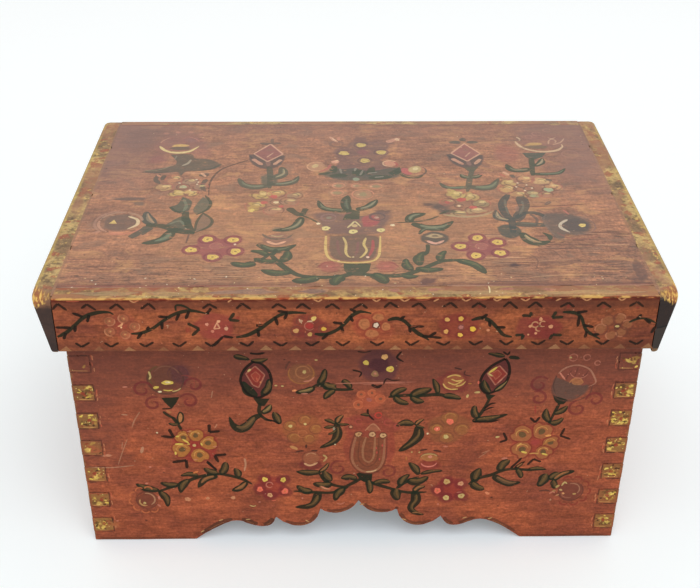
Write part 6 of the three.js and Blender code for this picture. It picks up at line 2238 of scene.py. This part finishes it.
def lid_pale_flowers(art):
    for corners in (
        [(-122, 132), (-112, 145), (-98, 143), (-91, 132), (-96, 120), (-112, 118)],
        [(-62, 114), (-52, 125), (-38, 123), (-30, 112), (-36, 100), (-50, 96), (-62, 102)],
        [(92, 130), (98, 141), (112, 144), (124, 136), (126, 124), (112, 112), (97, 116)],
        [(54, 112), (60, 121), (72, 120), (80, 108), (78, 96), (64, 93), (54, 100)]
    ):
        art.cloud(corners, (150, 104, 80), 0.55, 4)
    for x, y, rx, ry, colour in (
        (-116, 129.6, 5.4, 4.4, (200, 156, 104)), (-107, 121.6, 4.8, 4, (214, 180, 104)),
        (-98.4, 122, 4.2, 3.6, (212, 176, 106)), (-110.6, 141.4, 4.2, 5.6, (198, 138, 96)),
        (-101, 137.6, 4.2, 4.8, (160, 124, 96)), (-93.6, 130, 4, 4.2, (150, 118, 94)),
        (97, 134.6, 4.4, 4.8, (200, 166, 104)), (108, 139.6, 4.2, 5.2, (206, 152, 104)),
        (117.6, 136.6, 5, 5, (202, 164, 112)), (95, 126.2, 4.6, 5, (198, 156, 98)),
        (123.6, 129, 4.8, 4.6, (206, 152, 104)), (101.2, 118, 4.8, 5.2, (190, 144, 96)),
        (110, 119, 4.4, 4.4, (168, 150, 108)), (117.6, 118.6, 4, 3.8, (176, 124, 94)),
        (-55.4, 118.6, 5.4, 5.2, (198, 164, 94)), (-46.4, 121, 5.4, 4.6, (192, 152, 92)),
        (-58, 104.6, 5.2, 5.6, (200, 162, 88)), (-38.4, 110, 5.2, 4.8, (166, 124, 94)),
        (-47, 98.6, 6, 4.4, (178, 126, 94)), (-35.4, 118, 4.6, 4.2, (162, 128, 94)),
        (62.6, 118.6, 5.8, 5.6, (196, 170, 98)), (71, 115.4, 5.8, 5.2, (192, 160, 96)),
        (76.6, 106.6, 4.6, 5, (150, 130, 90)), (72, 97.6, 6, 4, (180, 148, 104)),
        (57, 108.6, 4.2, 4.2, (150, 96, 76)), (61.6, 94, 6, 3.4, (170, 142, 100))
    ):
        pale_petal(art, x, y, rx, ry, colour)
    each(art.dot, (
        (-47.8, 116.6, 2.6, (198, 92, 78)), (-53.4, 108.6, 2.4, (196, 92, 78)),
        (-43, 103.6, 1.8, (190, 92, 78)), (65.4, 111.8, 3, (194, 86, 74)), (71.4, 101.6, 2.4, (196, 90, 78)),
        (56.6, 108.4, 2, (170, 86, 72)), (-46.2, 109, 1.8, (236, 210, 160)),
        (63.2, 103.6, 1.3, (236, 206, 160)), (-104.2, 130.4, 2.4, (186, 182, 138)),
        (120.2, 124.8, 3, (166, 178, 138)), (109.6, 116.6, 2, (156, 150, 110)),
        (-60.4, 98.6, 2.2, (214, 184, 100))
    ), solid=0.9)
    each(art.dot, (
        (-107, 135.6), (-97, 140.6), (-95.6, 137), (102.6, 134.4), (107.6, 131.6), (110.4, 127.2), (101, 129),
        (-96, 134), (-99.6, 126), (105.6, 124)
    ), r=0.9, colour=(236, 214, 178), solid=0.85)
    each(art.arc, (
        (-104.2, 130.4, 4), (104.6, 131, 3), (108.6, 126.4, 3.2), (102, 126, 3), (120.2, 124.8, 3.8),
        (63.2, 103.6, 2.6), (-46.2, 109, 3.6)
    ), start=0, end=340, width=1, colour=(96, 72, 56), solid=0.65)
    each(art.brush, (
        ([(-105.6, 150.6), (-96, 149.8), (-86.6, 151)], 1.4, (216, 160, 124), 0.6),
        ([(-95, 150), (-91.6, 144.6)], 2, (222, 168, 132), 0.75),
        ([(-122.6, 148), (-120, 144.6)], 1.8, (216, 150, 116), 0.7),
        ([(95.6, 150.6), (98.6, 145.6)], 2.2, (222, 170, 138), 0.75),
        ([(93, 147.6), (96.6, 143.6)], 1.8, (190, 92, 80), 0.65),
        ([(120.6, 139), (124.6, 138)], 2.4, (70, 72, 60), 0.7),
        ([(100, 146), (101.6, 141.6)], 3, (62, 70, 60), 0.75),
        ([(52.6, 92.6), (64, 89.6), (76, 91.6), (83, 97)], 2.2, (176, 152, 112), 0.7),
        ([(54, 96.6), (66, 93), (78, 94)], 1.6, (92, 76, 60), 0.6),
        ([(124.6, 98), (127, 92)], 1.2, (206, 110, 92), 0.5)
    ))


def lid_stains(art):
    for x, y, rx, ry, turn, colour, solid in (
        (53, 101, 9.4, 8, -12, (78, 66, 60), 0.88), (44.6, 105.6, 3.6, 2.6, 0, (64, 48, 46), 0.7),
        (54.6, 95.6, 5, 3.6, 20, (84, 70, 58), 0.6), (18, 97, 5.6, 3.4, 0, (92, 66, 60), 0.75),
        (16.6, 88.6, 3.6, 4.6, 0, (96, 64, 58), 0.6), (153.6, 27, 3.4, 14, 0, (80, 52, 46), 0.6),
        (-140.6, 197, 15, 22, 0, (116, 84, 74), 0.45), (-136, 213, 18, 9, 0, (110, 80, 70), 0.4),
        (-126, 176, 10, 10, 0, (124, 80, 72), 0.35), (140, 150, 14, 20, 0, (140, 98, 84), 0.35),
        (128, 213, 18, 9, 0, (116, 86, 76), 0.4), (38, 16.2, 6.4, 3.4, 24, (84, 50, 46), 0.8),
        (86.6, 33, 3.8, 2.2, 0, (58, 36, 36), 0.9), (112, 36, 12, 4, 0, (104, 68, 58), 0.5),
        (150, 16.6, 5, 6, 0, (78, 50, 46), 0.55)
    ):
        art.blob(x, y, rx, ry, colour, solid, turn, min(rx, ry) * 0.6, "wash", 1, 0.16)
    each(art.brush, (
        ([(104, 102.4), (124, 103.6), (142, 106)], 1, (96, 58, 48), 0.7),
        ([(104, 101.4), (118, 101.6), (134, 103.6)], 1, (206, 130, 92), 0.5),
        ([(74, 38.4), (96, 37), (126, 39.8)], 0.8, (206, 150, 104), 0.55),
        ([(78, 36), (104, 36.6)], 0.7, (96, 58, 48), 0.6),
        ([(94, 20.4), (112, 22.4), (136, 22)], 0.9, (206, 156, 112), 0.55),
        ([(96, 24.6), (122, 24.4)], 0.7, (96, 58, 48), 0.6),
        ([(138, 70.6), (150, 69.4), (157.6, 69)], 0.9, (90, 52, 44), 0.65),
        ([(-157, 13), (-100, 12.4), (-56, 12.8)], 1.4, (136, 62, 46), 0.6),
        ([(60, 13.2), (100, 12.2), (156, 13.4)], 1.4, (110, 58, 46), 0.6),
        ([(-157, 41), (-140, 41.6), (-118, 40.8)], 0.8, (90, 56, 48), 0.6),
        ([(-136, 19), (-90, 18.4), (-60, 19.2)], 0.8, (120, 74, 52), 0.5),
        ([(-157, 226), (-60, 226.6), (60, 226), (157, 226.6)], 1.7, (122, 72, 62), 0.6),
        ([(-30.4, 131.4), (-24.6, 130.8)], 0.9, LID_INK, 0.7),
        ([(96, 46), (100, 38.6), (98, 30)], 0.8, (90, 60, 50), 0.5),
        ([(110, 50), (114.6, 40)], 0.8, (90, 60, 50), 0.45)
    ))
    for low, high, front, back, count, most in (
        (-154, -60, 16, 48, 20, 0.6), (66, 154, 16, 74, 34, 0.7), (-150, 150, 76, 214, 30, 0.36)
    ):
        for index in range(count):
            x, y = art.chance.uniform(low, high), art.chance.uniform(front, back)
            half = min(art.chance.uniform(3, 15), 156 - abs(x))
            colour = (88, 52, 44) if index % 4 else (214, 162, 122)
            art.brush(
                [
                    (x - half, y), (x, y + art.chance.uniform(-0.5, 0.5)),
                    (x + half, y + art.chance.uniform(-0.4, 0.4))
                ],
                art.chance.uniform(0.6, 1.2), colour, most * art.chance.uniform(0.5, 1), layer="wash"
            )
    joint = APRON_REAR + 0.15 - LID_FRONT
    for left, right, solid in (
        (-157.5, -84, 0.4), (-80, -22, 0.55), (-19, 44, 0.45), (48, 110, 0.6), (113, 157.5, 0.5)
    ):
        art.brush([
            (left, joint), (0.5 * (left + right), joint), (right, joint)
        ], 1.2, (172, 122, 94), solid, layer="wash")
    for x in (-SEAM_X - 0.15, SEAM_X + 0.15):
        for front, back, colour in (
            (3, 52, (150, 108, 76)), (56, 118, (138, 100, 70)), (121, 188, (154, 112, 82)),
            (191, 229, (132, 94, 70))
        ):
            art.brush([(x, front), (x, 0.5 * (front + back)), (x, back)], 1.3, colour, 0.6, layer="wash")
    each(art.specks, (
        (30, (-156, 14, 156, 225), 0.45, ((228, 196, 156), (206, 160, 124)), 0.7),
        (46, (-156, 14, 156, 225), 0.5, (LID_INK, (96, 60, 50)), 0.6),
        (60, (-156, 12, -70, 46), 0.55, (LID_INK, (96, 60, 50)), 0.5),
        (60, (90, 12, 156, 66), 0.55, (LID_INK, (96, 60, 50)), 0.5)
    ))


def lid_front_wear_and_highlights(art):
    for x, y, rx, ry, colour, solid in (
        (-22, 6.8, 8, 2.4, (96, 76, 74), 0.6), (-58, 6.4, 17, 2.8, (134, 106, 90), 0.5),
        (-96, 4.8, 13, 2, (166, 142, 78), 0.45), (-130, 5.2, 15, 2.4, (178, 150, 84), 0.4),
        (62, 4.8, 24, 2, (176, 146, 84), 0.45), (120, 4.6, 28, 2.2, (172, 140, 84), 0.5),
        (20, 7.4, 3.6, 1.6, (166, 92, 76), 0.5), (41, 8, 3.8, 1.6, (168, 92, 76), 0.55),
        (79, 8.4, 4, 1.6, (166, 92, 76), 0.5), (101, 7.6, 3.6, 1.6, (168, 96, 78), 0.45)
    ):
        art.blob(x, y, rx, ry, colour, solid, 0, ry * 0.8, "wash", 1, 0.2)
    art.brush([(69.6, 4.2), (70, 8), (69.8, 11.6)], 0.7, (236, 214, 160), 0.85)
    # Small white specks along the lid's front strip: painted highlights of light caught on the varnish
    art.specks(60, (-150, 1.6, 150, 24), 0.42, ((240, 226, 196), (232, 204, 150)), 0.8)


def paint_lid():
    art = Painting("lid_ornament", lid_place)
    for motif in (
        lid_stains, lid_cup_left, lid_cup_right, lid_bud_left, lid_bud_right, lid_bouquet, lid_vase,
        lid_garland, lid_roses, lid_leaf_sprays, lid_pale_flowers, lid_front_wear_and_highlights
    ):
        motif(art)
    return art


# Softened edges of the boards (m and rad)
BOARD_ROUND = 0.0006
LID_ROUND = 0.0009
BEVEL_ANGLE = math.radians(35)
WELD = 0.00001
FLAT_ANGLE = math.radians(0.6)
EDGE_WEIGHT = 80


def soften(node, width):
    """Rounds a node's sharp edges a little, as worn wood has."""
    weld = node.modifiers.new("weld", "WELD")
    weld.merge_threshold = WELD
    flat = node.modifiers.new("flat", "DECIMATE")
    flat.decimate_type = "DISSOLVE"
    flat.angle_limit = FLAT_ANGLE
    bevel = node.modifiers.new("bevel", "BEVEL")
    bevel.width = width
    bevel.segments = 2
    bevel.limit_method = "ANGLE"
    bevel.angle_limit = BEVEL_ANGLE
    bevel.use_clamp_overlap = True
    smooth = node.modifiers.new("smooth", "WEIGHTED_NORMAL")
    smooth.keep_sharp = False
    smooth.weight = EDGE_WEIGHT


def dress(names, look, width):
    for name in names:
        node = nodes[name]
        node.data.materials.clear()
        node.data.materials.append(look)
        if width:
            soften(node, width)


def dress_nodes():
    dress(("front_board",), board_look("front_paint", "x"), BOARD_ROUND)
    dress(("back_board",), board_look("back_paint", "x"), BOARD_ROUND)
    dress(("left_side_board", "right_side_board"), board_look("side_paint", "y"), BOARD_ROUND)
    dress(("lid_panel",), panel_look("lid_paint_worn"), LID_ROUND)
    dress(("lid_apron",), apron_look("apron_paint"), LID_ROUND)
    dress(("lid_left_cleat", "lid_right_cleat"), cleat_look("cleat_paint_worn"), 0)
    dress(("bottom_board",), wood_look("bottom_wood", "x"), BOARD_ROUND)
    iron = [name for name in nodes if name.endswith("pin") or "nail" in name]
    dress(iron, iron_look("old_iron"), 0)


def make_camera():
    fwd = Vector(
        (
            math.sin(CAMERA_YAW) * math.cos(CAMERA_PITCH),
            math.cos(CAMERA_YAW) * math.cos(CAMERA_PITCH),
            -math.sin(CAMERA_PITCH),
        )
    )
    right = Vector((math.cos(CAMERA_YAW), -math.sin(CAMERA_YAW), 0))
    down = fwd.cross(right)
    c, s = math.cos(CAMERA_ROLL), math.sin(CAMERA_ROLL)
    across, below = right * c + down * s, down * c - right * s
    data = bpy.data.cameras.new("camera")
    data.sensor_width = SENSOR
    data.lens = CAMERA_LENS
    data.clip_start, data.clip_end = CLIP
    camera = bpy.data.objects.new("camera", data)
    bpy.context.scene.collection.objects.link(camera)
    turn = Matrix((across, -below, -fwd)).transposed()
    camera.matrix_world = Matrix.Translation(CAMERA_AT) @ turn.to_4x4()
    bpy.context.scene.camera = camera


def make_light():
    world = bpy.data.worlds.new("room")
    bpy.context.scene.world = world
    world.use_nodes = True
    tree = world.node_tree
    tree.nodes.clear()
    output = tree.nodes.new("ShaderNodeOutputWorld")
    room = tree.nodes.new("ShaderNodeBackground")
    room.inputs["Color"].default_value = ROOM_COLOUR
    room.inputs["Strength"].default_value = WORLD_LEVEL
    seen = tree.nodes.new("ShaderNodeBackground")
    seen.inputs["Color"].default_value = SEEN_COLOUR
    path = tree.nodes.new("ShaderNodeLightPath")
    share = tree.nodes.new("ShaderNodeMath")
    share.operation = "MAXIMUM"
    tree.links.new(path.outputs["Is Camera Ray"], share.inputs[0])
    tree.links.new(path.outputs["Is Glossy Ray"], share.inputs[1])
    both = tree.nodes.new("ShaderNodeMixShader")
    tree.links.new(share.outputs[0], both.inputs[0])
    tree.links.new(room.outputs[0], both.inputs[1])
    tree.links.new(seen.outputs[0], both.inputs[2])
    tree.links.new(both.outputs[0], output.inputs["Surface"])
    lamp = bpy.data.lights.new("softbox", "AREA")
    lamp.shape = "SQUARE"
    lamp.size = KEY_SIZE
    lamp.energy = KEY_POWER
    lamp.color = KEY_COLOUR
    key = bpy.data.objects.new("softbox", lamp)
    bpy.context.scene.collection.objects.link(key)
    key.location = KEY_AT
    key.rotation_euler = (Vector(KEY_TARGET) - Vector(KEY_AT)).to_track_quat("-Z", "Y").to_euler()


def make_floor():
    """A white floor. To the camera it glows a little, so that it stands as near white as in the photo."""
    mesh = bpy.data.meshes.new("floor")
    corners = [(x * FLOOR_HALF, y * FLOOR_HALF, -FLOOR_DROP) for x, y in ((-1, -1), (1, -1), (1, 1), (-1, 1))]
    mesh.from_pydata(corners, [], [(0, 1, 2, 3)])
    floor = bpy.data.objects.new("floor", mesh)
    bpy.context.scene.collection.objects.link(floor)
    look = Look("floor_white")
    # Painted light and shade: the floor is coloured a little darker near the front and paler far back, as the
    # light falls off across it
    pale = look.mix(look.step(look.y, -200, 900), FLOOR_NEAR, FLOOR_FAR)
    # Painted shadow: the floor is coloured darker and bluer under and around the box's footprint, where the
    # box shades it
    inside = look.both(look.step(abs(look.x), 168, 140), look.step(look.y, -128, -84))
    inside = look.both(inside, look.step(look.y, 120, 100))
    pale = look.mix(inside, pale, FLOOR_UNDER_BOX_SHADE)
    look.finish(pale, 0.75, gloss=0.2)
    glow = look.tree.nodes.new("ShaderNodeEmission")
    glow.inputs["Color"].default_value = GLOW_COLOUR
    glow.inputs["Strength"].default_value = FLOOR_GLOW
    both = look.tree.nodes.new("ShaderNodeAddShader")
    look.tree.links.new(look.shader.outputs[0], both.inputs[0])
    look.tree.links.new(glow.outputs[0], both.inputs[1])
    path = look.tree.nodes.new("ShaderNodeLightPath")
    seen = look.tree.nodes.new("ShaderNodeMixShader")
    look.tree.links.new(path.outputs["Is Camera Ray"], seen.inputs[0])
    look.tree.links.new(look.shader.outputs[0], seen.inputs[1])
    look.tree.links.new(both.outputs[0], seen.inputs[2])
    look.tree.links.new(seen.outputs[0], look.output.inputs["Surface"])
    mesh.materials.append(look.material)


dress_nodes()
for art, ground, body, slot, shine, worn, gloss in (
    (paint_front(), body_ground, "root", "body_paint", (0.5, 0.62), 0.50, PAINT_GLOSS),
    (paint_apron(), apron_ground, "lid", "body_paint", (0.5, 0.62), 0.50, PAINT_GLOSS),
    (paint_lid(), lid_face, "lid", "lid_paint", (0.38, 0.5), 0.54, LID_GLOSS),
):
    art.build(brushed_look(art.name + "_paint", ground, *shine, worn, gloss), body, slot)
make_floor()
make_light()
make_camera()
bpy.context.scene.view_settings.view_transform = "Standard"
